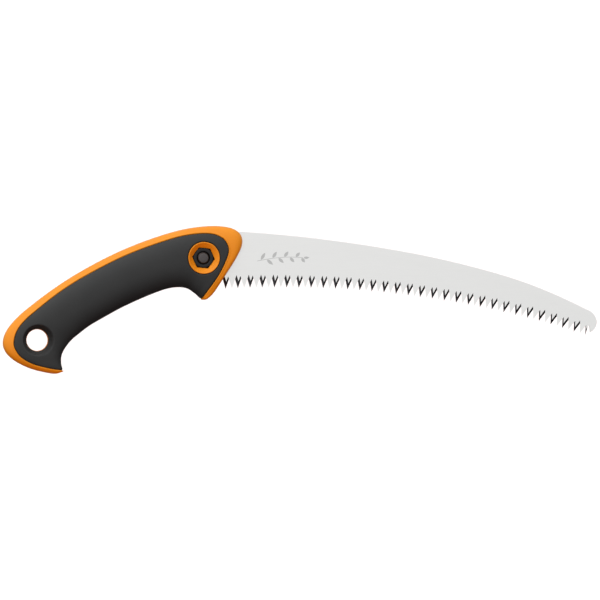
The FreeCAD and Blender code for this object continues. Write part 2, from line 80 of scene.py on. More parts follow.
A_PTS = [(-122.50, -98.95), (-126.56, -100.25), (-134.74, -99.61), (-145.24, -97.28),
         (-155.74, -93.38), (-164.05, -88.61), (-170.96, -81.86), (-173.59, -74.84),
         (-172.71, -67.91), (-169.30, -60.98), (-160.99, -51.19), (-150.49, -42.14),
         (-134.74, -30.15), (-113.74, -16.11), (-87.49, -1.48), (-61.24, 10.51),
         (-34.99, 19.93), (-11.36, 25.90), (7.01, 27.76), (20.14, 27.21),
         (28.89, 24.78), (34.75, 19.31), (35.62, 12.65), (32.48, 3.99),
         (24.78, -9.01), (15.85, -22.78), (8.85, -32.39), (5.53, -35.25)]
B_PTS = [(-121.30, -97.30), (-121.80, -95.72), (-122.70, -93.12), (-123.10, -89.57),
         (-123.01, -86.10), (-122.14, -82.64), (-120.65, -79.52), (-118.81, -76.74),
         (-116.54, -73.72), (-113.39, -70.34), (-108.31, -66.18), (-100.61, -60.20),
         (-90.11, -53.80), (-74.36, -45.05), (-55.99, -36.29), (-37.61, -28.85),
         (-24.49, -25.55), (-14.86, -25.90), (-9.61, -27.98), (-6.11, -30.23),
         (-4.01, -31.88), (-2.52, -33.35), (-1.56, -34.30), (-0.86, -35.09),
         (-0.25, -35.69), (0.45, -36.20), (1.33, -36.47), (2.73, -36.55)]
P_PTS = [(-121.97, -97.02), (-126.26, -96.84), (-134.29, -95.72), (-142.66, -93.81),
         (-148.52, -92.08), (-155.10, -88.87), (-161.06, -83.94), (-164.65, -77.78),
         (-165.31, -72.24), (-163.32, -64.45), (-155.96, -54.05), (-145.31, -44.61),
         (-130.87, -33.09), (-109.90, -19.06), (-83.70, -4.85), (-60.07, 5.89),
         (-34.69, 14.90), (-14.52, 20.19), (0.35, 21.61), (9.91, 20.70),
         (15.95, 18.36), (20.36, 14.38), (22.59, 9.19), (22.30, 3.12),
         (17.41, -9.01), (9.35, -22.00), (2.58, -31.35), (-0.09, -35.34)]
HALF_T = [7.0, 7.8, 8.8, 9.7, 10.3, 10.8, 11.0, 11.1, 11.3, 11.6, 12.2, 12.8, 13.5, 14.1,
          14.5, 14.6, 14.4, 13.8, 13.2, 12.9, 12.6, 12.3, 12.0, 11.6, 11.0, 9.9, 8.4, 7.0]
SQUARE = [2.6, 2.6, 2.7, 2.8, 2.9, 2.9, 2.9, 2.9, 2.8, 2.7, 2.55, 2.45, 2.35, 2.3,
          2.3, 2.3, 2.35, 2.5, 2.7, 2.9, 3.0, 3.1, 3.1, 3.1, 3.0, 2.9, 2.8, 2.7]
SPINE = [(37.64, 22.52), (51.64, 21.57), (72.64, 19.75), (93.64, 17.67), (114.64, 15.08),
         (135.64, 12.22), (156.64, 8.92), (177.64, 5.38), (198.64, 1.30), (219.64, -3.38),
         (240.64, -8.57), (261.64, -14.37), (282.64, -21.14), (303.64, -29.20),
         (324.64, -38.55), (338.64, -45.30)]
TIPLINE = [(20.55, -26.71), (42.36, -25.91), (64.33, -25.58), (85.33, -25.83),
           (106.59, -26.35), (127.59, -27.39), (149.20, -29.12), (170.64, -31.38),
           (191.64, -34.15), (212.64, -37.27), (233.90, -40.90), (254.64, -45.06),
           (275.46, -49.83), (295.59, -54.85), (315.98, -61.00), (335.93, -67.24)]
ROUND = [(338.64, -45.30), (341.09, -46.52), (343.10, -48.51), (344.76, -51.19),
         (345.90, -54.49), (345.73, -57.17), (344.76, -60.11), (342.40, -62.81),
         (339.73, -64.65)]


# ------------------------------------------------------------------- camera
# The saw is seen from the nut side and from afar, some degrees from the butt end.
def make_camera():
    cam = bpy.data.cameras.new("camera")
    cam.sensor_width = 36.0
    cam.clip_start = 0.1
    cam.clip_end = 50
    ob = bpy.data.objects.new("camera", cam)
    bpy.context.scene.collection.objects.link(ob)
    width, away = 0.525 * math.cos(math.radians(8.0)), 10.0
    cam.lens = 18.0 * away / (width / 2)
    yaw = math.radians(8.0)
    target = Vector((0.2294, 0.0346, 0.0))
    z = Vector((-math.sin(yaw), 0.0, math.cos(yaw)))
    y = Vector((0, 1, 0))
    x = y.cross(z).normalized()
    ob.matrix_world = Matrix.Translation(target + z * away) @ Matrix((x, y, z)).transposed().to_4x4()
    bpy.context.scene.camera = ob
    return ob


camera = make_camera()


# ------------------------------------------------------------------ splines
class Spl:
    """Natural cubic spline, as in the CAD model."""

    def __init__(self, us, ys):
        us, ys = np.asarray(us, float), np.asarray(ys, float)
        n = len(us)
        h = np.diff(us)
        m = np.zeros((n, n))
        d = np.zeros(n)
        m[0, 0] = m[-1, -1] = 1
        for i in range(1, n - 1):
            m[i, i - 1], m[i, i], m[i, i + 1] = h[i - 1], 2 * (h[i - 1] + h[i]), h[i]
            d[i] = 6 * ((ys[i + 1] - ys[i]) / h[i] - (ys[i] - ys[i - 1]) / h[i - 1])
        self.s, self.us, self.ys, self.h = np.linalg.solve(m, d), us, ys, h

    def __call__(self, u):
        u = np.asarray(u, float)
        i = np.clip(np.searchsorted(self.us, u, side="left") - 1, 0, len(self.h) - 1)
        h, s, y = self.h[i], self.s, self.ys
        t, w = self.us[i + 1] - u, u - self.us[i]
        return (s[i] * t ** 3 / (6 * h) + s[i + 1] * w ** 3 / (6 * h)
                + (y[i] / h - s[i] * h / 6) * t + (y[i + 1] / h - s[i + 1] * h / 6) * w)


def dist(p, q):
    return math.hypot(p[0] - q[0], p[1] - q[1])


def nudge(p):
    """Ease the nose and the front lip back a little, as the outline asks."""
    x, y = p
    a = min(max((x - 6.0) / 8.0, 0.0), 1.0)
    b = min(max((-y - 14.0) / 10.0, 0.0), 1.0) * min(max((x + 16.0) / 10.0, 0.0), 1.0)
    return (x - 0.95 * max(a, b), y)


A_PTS, B_PTS, P_PTS = ([nudge(p) for p in pts] for pts in (A_PTS, B_PTS, P_PTS))
US = [0.0]
for i in range(1, len(A_PTS)):
    US.append(US[-1] + max(0.5 * (dist(A_PTS[i], A_PTS[i - 1]) + dist(B_PTS[i], B_PTS[i - 1])), 2.0))
UMAX = US[-1]
fa = [Spl(US, [p[k] for p in A_PTS]) for k in (0, 1)]
fb = [Spl(US, [p[k] for p in B_PTS]) for k in (0, 1)]
fp = [Spl(US, [p[k] for p in P_PTS]) for k in (0, 1)]
fh = Spl(US, HALF_T)
fn = Spl(US, SQUARE)


def surf(u, th, grow_a=0.0, grow_b=0.0, drop=0.0):
    """Half of the handle's skin, from edge A (th 0) over to edge B (th pi)."""
    u, th = np.asarray(u, float), np.asarray(th, float)
    ax, ay, bx, by = fa[0](u), fa[1](u), fb[0](u), fb[1](u)
    L = np.hypot(bx - ax, by - ay)
    dx, dy = (bx - ax) / L, (by - ay) / L
    gb = np.maximum(grow_b, -0.4 * L) if grow_b < 0 else grow_b
    ax, ay = ax - dx * grow_a, ay - dy * grow_a
    bx, by = bx + dx * gb, by + dy * gb
    H, n = fh(u) - drop, fn(u)
    c, s = -np.cos(th), np.clip(np.sin(th), 0, None)
    w = np.sign(c) * np.abs(c) ** (2 / n)
    z = H * s ** (2 / n)
    z = np.where((th <= 1e-7) | (th >= math.pi - 1e-7), 0.0, z)
    q = (1 + w) / 2
    return np.stack([ax + (bx - ax) * q, ay + (by - ay) * q, z], -1)


# a table of plan position against station
KU = np.linspace(0, UMAX, 2400)
KA = np.stack([fa[0](KU), fa[1](KU)], -1)
KD = np.stack([fb[0](KU), fb[1](KU)], -1) - KA
KL2 = (KD ** 2).sum(-1)


def find(xy):
    """Station and angle of plan points; the third value says which are on the skin."""
    xy = np.asarray(xy, float).reshape(-1, 2)
    uu, tt, ok = np.zeros(len(xy)), np.zeros(len(xy)), np.zeros(len(xy), bool)
    for a in range(0, len(xy), 800):
        p = xy[a:a + 800]
        rx = p[:, None, 0] - KA[None, :, 0]
        ry = p[:, None, 1] - KA[None, :, 1]
        cr = KD[None, :, 0] * ry - KD[None, :, 1] * rx
        q = (KD[None, :, 0] * rx + KD[None, :, 1] * ry) / KL2[None, :]
        flip = (cr[:, :-1] * cr[:, 1:] <= 0) & (q[:, :-1] > -0.001) & (q[:, :-1] < 1.001)
        has = flip.any(1)
        k = flip.argmax(1)
        r = np.arange(len(p))
        c0, c1 = cr[r, k], cr[r, k + 1]
        f = c0 / np.where(np.abs(c0 - c1) < 1e-12, 1, c0 - c1)
        f = np.clip(f, 0, 1)
        u = KU[k] + (KU[k + 1] - KU[k]) * f
        ax, ay, bx, by = fa[0](u), fa[1](u), fb[0](u), fb[1](u)
        qq = ((bx - ax) * (p[:, 0] - ax) + (by - ay) * (p[:, 1] - ay)) / ((bx - ax) ** 2 + (by - ay) ** 2)
        qq = np.clip(qq, 0, 1)
        w = 2 * qq - 1
        c = np.sign(w) * np.abs(w) ** (fn(u) / 2)
        uu[a:a + 800], tt[a:a + 800], ok[a:a + 800] = u, np.arccos(np.clip(-c, -1, 1)), has
    return uu, tt, ok


# the angle's reference arc length, so that the flat domain is close to true size
_t = np.linspace(0, math.pi, 4001)
_c, _s = -np.cos(_t), np.sin(_t)
_x = 23 * np.sign(_c) * np.abs(_c) ** (2 / 2.65)
_z = 13 * np.clip(_s, 0, None) ** (2 / 2.65)
T_TAB = np.concatenate([[0], np.cumsum(np.hypot(np.diff(_x), np.diff(_z)))])
T_MAX = T_TAB[-1]


def t_of(th):
    return np.interp(th, _t, T_TAB)


def th_of(t):
    return np.interp(t, T_TAB, _t)


# ------------------------------------------------- the line where the grip ends
PU = np.linspace(0, UMAX, 900)
PXY = np.stack([fp[0](PU), fp[1](PU)], -1)
first = PXY[0] - (PXY[3] - PXY[0]) / np.linalg.norm(PXY[3] - PXY[0]) * 3.0
last = PXY[-1] + (PXY[-1] - PXY[-4]) / np.linalg.norm(PXY[-1] - PXY[-4]) * 3.0
PXY = np.vstack([first, PXY, last])
PT = np.gradient(PXY, axis=0)
PT /= np.linalg.norm(PT, axis=1)[:, None]
PN = np.stack([PT[:, 1], -PT[:, 0]], -1)          # towards the grip


def d_line(xy):
    """Signed distance to the line: positive on the grip's side."""
    xy = np.asarray(xy, float).reshape(-1, 2)
    out = np.zeros(len(xy))
    a, b = PXY[:-1], PXY[1:]
    ab = b - a
    l2 = (ab ** 2).sum(-1)
    for i in range(0, len(xy), 1500):
        p = xy[i:i + 1500]
        t = np.clip(((p[:, None] - a[None]) * ab[None]).sum(-1) / l2[None], 0, 1)
        foot = a[None] + ab[None] * t[..., None]
        dd = np.hypot(p[:, None, 0] - foot[..., 0], p[:, None, 1] - foot[..., 1])
        k = dd.argmin(1)
        r = np.arange(len(p))
        v = p - foot[r, k]
        side = v[:, 0] * ab[k, 1] - v[:, 1] * ab[k, 0]
        out[i:i + 1500] = np.sign(side) * dd[r, k]
    return out


def hex_r(phi, af, turn):
    """Radius of a hexagon's edge, a corner standing at angle turn."""
    a = np.mod(np.asarray(phi) - math.radians(turn), math.pi / 3) - math.pi / 6
    return af / 2 / np.cos(a)


# ---------------------------------------------------------- the handle's skin
GRID = 1.25


def circle(cx, cy, r, n):
    a = np.arange(n) * 2 * math.pi / n
    return np.stack([cx + r * np.cos(a), cy + r * np.sin(a)], -1)


N_RING = 168
BOSS_RINGS = [10.7, 11.3, 11.9, 12.4, 12.75, 12.95, 13.15, 13.3, 13.45, 13.58, 13.68, 13.76, BOSS_R, 13.92, 14.12,
              14.25, 14.38, 14.52, 14.7, 15.0, 15.5]
HANG_RINGS = [HANG_R, 9.42, 9.55, 9.75, 10.2, 10.8, 11.4, 12.0, 12.5, 12.9, 13.15, 13.4, 13.7, 14.1, 14.6]
LINE_OFF = [-2.3, -1.75, -1.35, -1.05, -0.8, -0.6, -0.42, -0.28, -0.16, -0.06, 0.0, 0.12, 0.32, 0.45, 0.58, 0.72, 0.9, 1.2, 1.7]


def build_domain(near):
    """Triangles of the skin's domain, with edges along every feature."""
    loops, lines = [], []
    n_hex = 24
    if near:
        phi = math.radians(NUT_TURN) + np.arange(6 * n_hex) * 2 * math.pi / (6 * n_hex)
        for k in (0.0, 0.35, 0.75):
            r = hex_r(phi, HEX_AF, NUT_TURN) + k
            r = r * (1 - 0.0) + 0.0
            loops.append(np.stack([r * np.cos(phi), r * np.sin(phi)], -1))
        rings = [r for r in BOSS_RINGS if r > 11.0]
    else:
        loops.append(circle(0, 0, 10.6, N_RING))
        rings = [r for r in BOSS_RINGS if r > 10.8]
    for r in rings:
        loops.append(circle(0, 0, r, N_RING))
    for r in HANG_RINGS:
        loops.append(circle(HX, HY, r, 132))
    ends = []
    for off in LINE_OFF:
        q = PXY + PN * off
        # even steps of about 0.8 mm
        L = np.concatenate([[0], np.cumsum(np.hypot(*np.diff(q, axis=0).T))])
        m = int(L[-1] / 0.85)
        s = np.linspace(0, L[-1], m)
        lines.append(np.stack([np.interp(s, L, q[:, 0]), np.interp(s, L, q[:, 1])], -1))
    verts, edges = [], []

    def add_chain(u, t, closed):
        base = len(verts)
        for k in range(len(u)):
            verts.append((float(u[k]), float(t[k])))
        for k in range(len(u) - 1):
            edges.append((base + k, base + k + 1))
        if closed:
            edges.append((base + len(u) - 1, base))
        return base

    feature = []
    for lp in loops:
        u, th, ok = find(lp)
        assert ok.all(), "a ring leaves the skin"
        add_chain(u, t_of(th), True)
        feature.append(lp)
    # where the line meets edge B, its end is a vertex of that edge
    edge_u = np.linspace(0, UMAX, 6000)
    bxy = np.stack([fb[0](edge_u), fb[1](edge_u)], -1)
    bd = d_line(bxy)
    hits = {}
    for off, ln in zip(LINE_OFF, lines):
        u, th, ok = find(ln)
        inside = ok & (th < math.pi - 0.012) & (th > 0.012) & (u > 0.05) & (u < UMAX - 0.05)
        idx = np.nonzero(inside)[0]
        if not len(idx):
            continue
        a, b = idx[0], idx[-1]
        u, th = u[a:b + 1][inside[a:b + 1]], th[a:b + 1][inside[a:b + 1]]
        cu, ct = list(u), list(t_of(th))
        cross = np.nonzero(np.diff(np.sign(bd - off)) != 0)[0]
        if len(cross):
            for k, at in ((cross[0], 0), (cross[-1], -1)):
                ue = edge_u[k] + (edge_u[k + 1] - edge_u[k]) * (off - bd[k]) / (bd[k + 1] - bd[k] + 1e-12)
                ref = cu[0] if at == 0 else cu[-1]
                if abs(ue - ref) < 9:
                    hits.setdefault("B", []).append(ue)
                    if at == 0:
                        cu.insert(0, ue), ct.insert(0, T_MAX)
                    else:
                        cu.append(ue), ct.append(T_MAX)
        add_chain(np.array(cu), np.array(ct), False)
        feature.append(ln)
    feat = np.vstack(feature)
    # border of the domain
    ku = np.linspace(0, UMAX, 1200)
    va = np.hypot(np.gradient(fa[0](ku), ku), np.gradient(fa[1](ku), ku))
    vb = np.hypot(np.gradient(fb[0](ku), ku), np.gradient(fb[1](ku), ku))
    speed = np.maximum(1.0, np.maximum(va, vb) * 0.9)
    run = np.concatenate([[0], np.cumsum((speed[1:] + speed[:-1]) / 2 * np.diff(ku))])
    nu = int(run[-1] / GRID)
    us = np.interp(np.linspace(0, run[-1], nu + 1), run, ku)
    ts = np.linspace(0, T_MAX, int(T_MAX / 1.15) + 1)
    extra = np.array(sorted(hits.get("B", [])))
    ub = us.copy()
    if len(extra):
        keep = np.array([np.abs(extra - x).min() > 0.25 or x in (0.0, UMAX) for x in us])
        ub = np.unique(np.concatenate([us[keep], extra]))
        ub = ub[np.concatenate([[True], np.diff(ub) > 1e-5])]
    add_chain(us, np.zeros(len(us)), False)
    add_chain(ub, np.full(len(ub), T_MAX), False)
    add_chain(np.zeros(len(ts)), ts, False)
    add_chain(np.full(len(ts), UMAX), ts, False)
    # filling points, kept a little off the features
    gu, gt = np.meshgrid(us[1:-1], ts[1:-1], indexing="ij")
    gu, gt = gu.ravel(), gt.ravel()
    gxy = surf(gu, th_of(gt))[:, :2]
    cell = {}
    for p in feat:
        cell.setdefault((int(p[0] // 1), int(p[1] // 1)), []).append(p)
    keep = np.ones(len(gu), bool)
    for i, p in enumerate(gxy):
        cx, cy = int(p[0] // 1), int(p[1] // 1)
        for ax in (-1, 0, 1):
            for ay in (-1, 0, 1):
                for q in cell.get((cx + ax, cy + ay), ()):
                    if (q[0] - p[0]) ** 2 + (q[1] - p[1]) ** 2 < 0.3:
                        keep[i] = False
                        break
    rb, rh = np.hypot(gxy[:, 0], gxy[:, 1]), np.hypot(gxy[:, 0] - HX, gxy[:, 1] - HY)
    keep &= ~((rb < 15.5) & (rb > 10.0)) & ~(rb < 9.0) & ~(rh < 14.6)
    for k in np.nonzero(keep)[0]:
        verts.append((float(gu[k]), float(gt[k])))
    out = delaunay_2d_cdt([Vector(v) for v in verts], edges, [], 0, 1e-6, False)
    vv = np.array([(v[0], v[1]) for v in out[0]])
    for col, top in ((0, UMAX), (1, T_MAX)):
        vv[np.abs(vv[:, col] - top) < 1e-3, col] = top
        vv[np.abs(vv[:, col]) < 1e-3, col] = 0.0
    tri = np.array([f for f in out[2] if len(f) == 3], int)
    return vv, tri


def normals(u, th):
    e = 0.02
    thc = np.clip(th, 0.01, math.pi - 0.01)
    uc = np.clip(u, e, UMAX - e)
    ru = surf(uc + e, thc) - surf(uc - e, thc)
    rt = surf(uc, thc + 0.004) - surf(uc, thc - 0.004)
    n = np.cross(ru, rt)
    n /= np.linalg.norm(n, axis=1)[:, None] + 1e-12
    mid = n[:, 2].copy()
    flip = np.sign(np.where(np.abs(mid) > 0.02, mid, 0))
    # near the edges, outward is away from the chord's middle
    c = (surf(uc, np.zeros_like(uc)) + surf(uc, np.full_like(uc, math.pi))) / 2
    side = np.sign(((surf(uc, thc) - c) * n).sum(1))
    n *= np.where(flip != 0, flip, side)[:, None]
    edge = (th < 1e-6) | (th > math.pi - 1e-6)
    n[edge, 2] = 0
    n /= np.linalg.norm(n, axis=1)[:, None] + 1e-12
    return n


def lip_orange(d):
    """Height of the orange lip against distance from its groove (negative d)."""
    x = [-14, -7, -3.2, -2.3, -1.75, -1.35, -1.05, -0.8, -0.6, -0.42, -0.28, -0.16, -0.06, 0.0]
    y = [0, -0.10, -0.30, -0.34, -0.32, -0.24, -0.12, -0.03, 0.0, -0.02, -0.08, -0.22, -0.55, -1.25]
    return np.interp(d, x, y)


def lip_black(d):
    x = [0.0, 0.12, 0.32, 0.45, 0.58, 0.72, 0.9, 1.2, 1.7, 9]
    y = [-1.25, -1.22, -1.05, -0.72, -0.40, -0.20, -0.09, -0.03, 0, 0]
    return np.interp(d, x, y)


def ring_height(cx, cy, r):
    a = np.arange(721) * 2 * math.pi / 720
    u, th, ok = find(np.stack([cx + r * np.cos(a), cy + r * np.sin(a)], -1))
    return a, surf(u, th)[:, 2]


BZ_A, BZ = ring_height(0, 0, 12.95)
HZ_A, HZ = ring_height(HX, HY, 13.15)


def skins(vv, near):
    """Positions of the three sheets: orange, black outside, black inside."""
    u, th = vv[:, 0], th_of(vv[:, 1])
    th = np.where(vv[:, 1] <= 1e-6, 0, np.where(vv[:, 1] >= T_MAX - 1e-6, math.pi, th))
    base = surf(u, th)
    nrm = normals(u, th)
    inn = surf(u, th, 0.8, -GRIP_T, GRIP_T)
    xy = base[:, :2]
    d = d_line(xy)
    rb, pb = np.hypot(xy[:, 0], xy[:, 1]), np.mod(np.arctan2(xy[:, 1], xy[:, 0]), 2 * math.pi)
    rh = np.hypot(xy[:, 0] - HX, xy[:, 1] - HY)
    ph = np.mod(np.arctan2(xy[:, 1] - HY, xy[:, 0] - HX), 2 * math.pi)
    # black, outside
    k = np.minimum(lip_black(np.maximum(d, 0)), lip_black(np.maximum(rb - BOSS_R, 0)))
    black = base + nrm * k[:, None]
    zc = np.interp(ph, HZ_A, HZ)
    cone = 2.0 + (zc - 0.32 - 2.0) * (rh - 9.55) / (13.15 - 9.55)
    top = zc - 0.32 + np.interp(rh, [13.15, 13.4, 13.7, 14.1], [0, 0.17, 0.27, 0.32]) \
        + (base[:, 2] - zc)
    m = rh < 14.1
    black[m] = base[m]
    black[m, 2] = np.where(rh[m] < 13.15, cone[m], top[m])
    # black, inside
    inner = inn.copy()
    inner[:, 2] += 0.03
    m = rh < 14.6
    inner[m, :2] = base[m, :2]
    inner[m, 2] = np.minimum(inn[m, 2], black[m, 2] - 1.2)
    # orange
    orange = base + nrm * lip_orange(np.minimum(d, 0))[:, None]
    f = np.clip(d / 0.32, 0, 1)[:, None]
    low = inner.copy()
    low[:, 2] = np.maximum(low[:, 2] - 0.07, 0)
    low[:, 2] = np.where(th >= math.pi - 1e-6, 0, low[:, 2])
    orange = np.where(d[:, None] > 0, orange * (1 - f) + low * f, orange)
    # the boss and its conical recess
    zs = np.interp(pb, BZ_A, BZ)
    m = rb <= BOSS_R + 0.31
    g = base.copy()
    g[:, 2] += np.interp(rb, [12.95, 13.15, 13.3, 13.45, 13.58, 13.68, 13.76, BOSS_R],
                         [-0.1, -0.02, 0.0, -0.02, -0.10, -0.28, -0.60, -1.25])
    zin = 8.4 + (hex_r(pb, HEX_AF, NUT_TURN) - 8.7) * (4.2 / 4.5) if near else 10.2
    rin = hex_r(pb, HEX_AF, NUT_TURN) if near else 10.6
    slope = zin + (zs - 0.1 - zin) * (rb - rin) / (12.95 - rin)
    g[:, 2] = np.where(rb < 12.95, slope, g[:, 2])
    w = np.clip((rb - BOSS_R) / 0.3, 0, 1)[:, None]
    orange[m] = (g * (1 - w) + low * w)[m]
    # the tube's rim at the hang hole
    m = rh < 9.6
    orange[m, :2] = base[m, :2]
    orange[m, 2] = np.interp(rh[m], [HANG_R, 9.42, 9.55], [1.8, 1.95, 2.0])
    m = (rh >= 9.6) & (rh < 14.6)
    orange[m, :2] = base[m, :2]
    orange[m, 2] = low[m, 2] - 0.02
    return orange, black, inner, d, rb, rh, th


def to_frame(co):
    out = np.array(co, float)
    out[:, 0] += BX
    out[:, 1] += BY
    return np.clip(out * MM, np.array(CAD_BOX[0]) + 5e-6, np.array(CAD_BOX[1]) - 5e-6)


def within(poly, p):
    """Even-odd test; p is one point or an array of them."""
    p = np.asarray(p, float)
    one_ = p.ndim == 1
    p = p.reshape(-1, 2)
    a, b = poly, np.roll(poly, -1, 0)
    up = (a[None, :, 1] > p[:, None, 1]) != (b[None, :, 1] > p[:, None, 1])
    with np.errstate(divide="ignore", invalid="ignore"):
        x = a[None, :, 0] + (p[:, None, 1] - a[None, :, 1]) * (b[:, 0] - a[:, 0])[None] / (b[:, 1] - a[:, 1])[None]
    hit = (up & (p[:, None, 0] < x)).sum(1) % 2 == 1
    return bool(hit[0]) if one_ else hit


def boundary_loops(tri):
    """Directed edges that only one triangle has."""
    e = {}
    for a, b, c in tri:
        for x, y in ((a, b), (b, c), (c, a)):
            e[(x, y)] = e.get((x, y), 0) + 1
    return [(x, y) for (x, y) in e if (y, x) not in e]


def mesh_from(name, verts, faces, merge=2e-6, sharp=38.0):
    me = bpy.data.meshes.new(name)
    me.from_pydata([tuple(v) for v in verts], [], [tuple(int(i) for i in f) for f in faces])
    bm = bmesh.new()
    bm.from_mesh(me)
    bmesh.ops.remove_doubles(bm, verts=bm.verts, dist=merge)
    bad = [f for f in bm.faces if f.calc_area() < 1e-13]
    if bad:
        bmesh.ops.dissolve_degenerate(bm, dist=1e-7, edges=bm.edges)
    loose = [v for v in bm.verts if not v.link_faces]
    if loose:
        bmesh.ops.delete(bm, geom=loose, context="VERTS")
    bmesh.ops.recalc_face_normals(bm, faces=bm.faces)
    bm.to_mesh(me)
    bm.free()
    for p in me.polygons:
        p.use_smooth = True
    me.set_sharp_from_angle(angle=math.radians(sharp))
    me.update()
    ob = bpy.data.objects.new(name, me)
    bpy.context.scene.collection.objects.link(ob)
    return ob


def keep_tris(vv, tri, near):
    th = th_of(vv[:, 1])
    p = surf(vv[:, 0], th)[:, :2]
    c = p[tri].mean(1)
    d = d_line(c)
    rb, ab = np.hypot(c[:, 0], c[:, 1]), np.arctan2(c[:, 1], c[:, 0])
    rh = np.hypot(c[:, 0] - HX, c[:, 1] - HY)
    a = p[tri]
    area = 0.5 * np.abs((a[:, 1, 0] - a[:, 0, 0]) * (a[:, 2, 1] - a[:, 0, 1])
                        - (a[:, 2, 0] - a[:, 0, 0]) * (a[:, 1, 1] - a[:, 0, 1]))
    hole = rb < (hex_r(ab, HEX_AF, NUT_TURN) if near else 10.58)
    orange = ~hole & (rh > HANG_R)
    black = (d > 0) & (rb > BOSS_R) & (rh > 9.55)
    return tri[orange], tri[black]


def close_core(name, vv, tri, co, near, sign):
    """One orange half as a closed solid."""
    V_ = [tuple(p) for p in co]
    F = [tuple(t) for t in tri]
    loops = boundary_loops(tri)
    nxt = {a: b for a, b in loops}
    seen, chains = set(), []
    for a in list(nxt):
        if a in seen:
            continue
        ch = [a]
        seen.add(a)
        b = nxt[a]
        while b != a and b in nxt and b not in seen:
            ch.append(b)
            seen.add(b)
            b = nxt[b]
        chains.append(ch)
    outer, hexl, hang = None, None, None
    for ch in chains:
        c = np.array([co[i][:2] for i in ch])
        if len(ch) > 400:
            outer = ch
        elif np.hypot(*(c.mean(0))) < 3:
            hexl = ch
        else:
            hang = ch

    def wall(ch, levels):
        prev = ch
        for z in levels:
            ids = []
            for i in ch:
                V_.append((co[i][0], co[i][1], z))
                ids.append(len(V_) - 1)
            n = len(ch)
            for k in range(n):
                a, b = prev[k], prev[(k + 1) % n]
                c, d = ids[(k + 1) % n], ids[k]
                F.append((b, a, d, c))
            prev = ids
        return prev

    floor = wall(hexl, [8.0, 1.6] if near else [9.9, 3.3])
    bore = []
    for z in (V_[floor[0]][2], 0.0):
        ids = []
        for i in hexl:
            r = math.hypot(co[i][0], co[i][1])
            V_.append((co[i][0] * BORE_R / r, co[i][1] * BORE_R / r, z))
            ids.append(len(V_) - 1)
        bore.append(ids)
    for prev, ids in ((floor, bore[0]), (bore[0], bore[1])):
        for k in range(len(ids)):
            F.append((prev[(k + 1) % len(ids)], prev[k], ids[k], ids[(k + 1) % len(ids)]))
    ring0 = wall(hang, [0.9, 0.15, 0.0])
    # end faces and the parting face
    ends = {0.0: [], 1.0: []}
    th = th_of(vv[:, 1])
    on0 = [i for i in outer if vv[i, 0] < 1e-6]
    on1 = [i for i in outer if vv[i, 0] > UMAX - 1e-6]
    on0.sort(key=lambda i: vv[i, 1])
    on1.sort(key=lambda i: vv[i, 1])
    F.append(tuple(on0))
    F.append(tuple(reversed(on1)))
    flat = [i for i in outer if vv[i, 1] < 1e-6 or vv[i, 1] > T_MAX - 1e-6]
    pts = [Vector((co[i][0], co[i][1])) for i in flat] + [Vector((V_[i][0], V_[i][1])) for i in ring0 + bore[1]]
    ids = list(flat) + list(ring0) + list(bore[1])
    e = [(k, (k + 1) % len(flat)) for k in range(len(flat))]
    m = len(flat)
    e += [(m + k, m + (k + 1) % len(ring0)) for k in range(len(ring0))]
    m += len(ring0)
    e += [(m + k, m + (k + 1) % len(bore[1])) for k in range(len(bore[1]))]
    out = delaunay_2d_cdt(pts, e, [], 0, 1e-7, True)
    cx = [Vector(v) for v in out[0]]
    outline = np.array([co[i][:2] for i in flat])
    open_in = [np.array([V_[i][:2] for i in ring]) for ring in (ring0, bore[1])]
    back = []
    for k, orig in enumerate(out[3]):
        if orig:
            back.append(ids[orig[0]])
        else:
            V_.append((cx[k][0], cx[k][1], 0.0))
            back.append(len(V_) - 1)
    for f in out[2]:
        c = sum((cx[i] for i in f), Vector((0, 0))) / len(f)
        if not within(outline, (c.x, c.y)) or any(within(ring, (c.x, c.y)) for ring in open_in):
            continue
        F.append(tuple(back[i] for i in f))
    P = np.array(V_)
    P[:, 2] *= sign
    return mesh_from(name, to_frame(P), F)


def grip_half(tri, black, inner, vv, sign, V_, F):
    base = len(V_)
    used = np.unique(tri)
    remap = {int(i): k for k, i in enumerate(used)}
    n = len(used)
    for arr in (black, inner):
        for i in used:
            p = arr[i]
            V_.append((p[0], p[1], p[2] * sign))
    for a, b, c in tri:
        a, b, c = remap[int(a)] + base, remap[int(b)] + base, remap[int(c)] + base
        F.append((a, b, c) if sign > 0 else (a, c, b))
        F.append((a + n, c + n, b + n) if sign > 0 else (a + n, b + n, c + n))
    for x, y in boundary_loops(tri):
        if vv[x, 1] > T_MAX - 1e-6 and vv[y, 1] > T_MAX - 1e-6:
            continue
        a, b = remap[int(x)] + base, remap[int(y)] + base
        F.append((b, a, a + n, b + n) if sign > 0 else (a, b, b + n, a + n))


GV, GF = [], []
cores = {}
for near in (True, False):
    vv, tri = build_domain(near)
    orange, black, inner, d, rb, rh, th = skins(vv, near)
    t_or, t_bl = keep_tris(vv, tri, near)
    sign = 1 if near else -1
    cores[near] = close_core("core_near_shell" if near else "core_far_shell", vv, t_or, orange, near, sign)
    # at the belly edge both sheets lie on the middle plane
    eq = vv[:, 1] > T_MAX - 1e-6
    black[eq, 2] = 0
    inner[eq, 2] = 0
    grip_half(t_bl, black, inner, vv, sign, GV, GF)
grip = mesh_from("grip_overmould", to_frame(np.array(GV)), GF)
print("handle faces", len(cores[True].data.polygons), len(cores[False].data.polygons), len(grip.data.polygons))

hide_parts("core_half_near")
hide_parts("core_half_far")
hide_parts("soft_grip")
for ob in (cores[True], cores[False], grip):
    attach(ob, "saw")


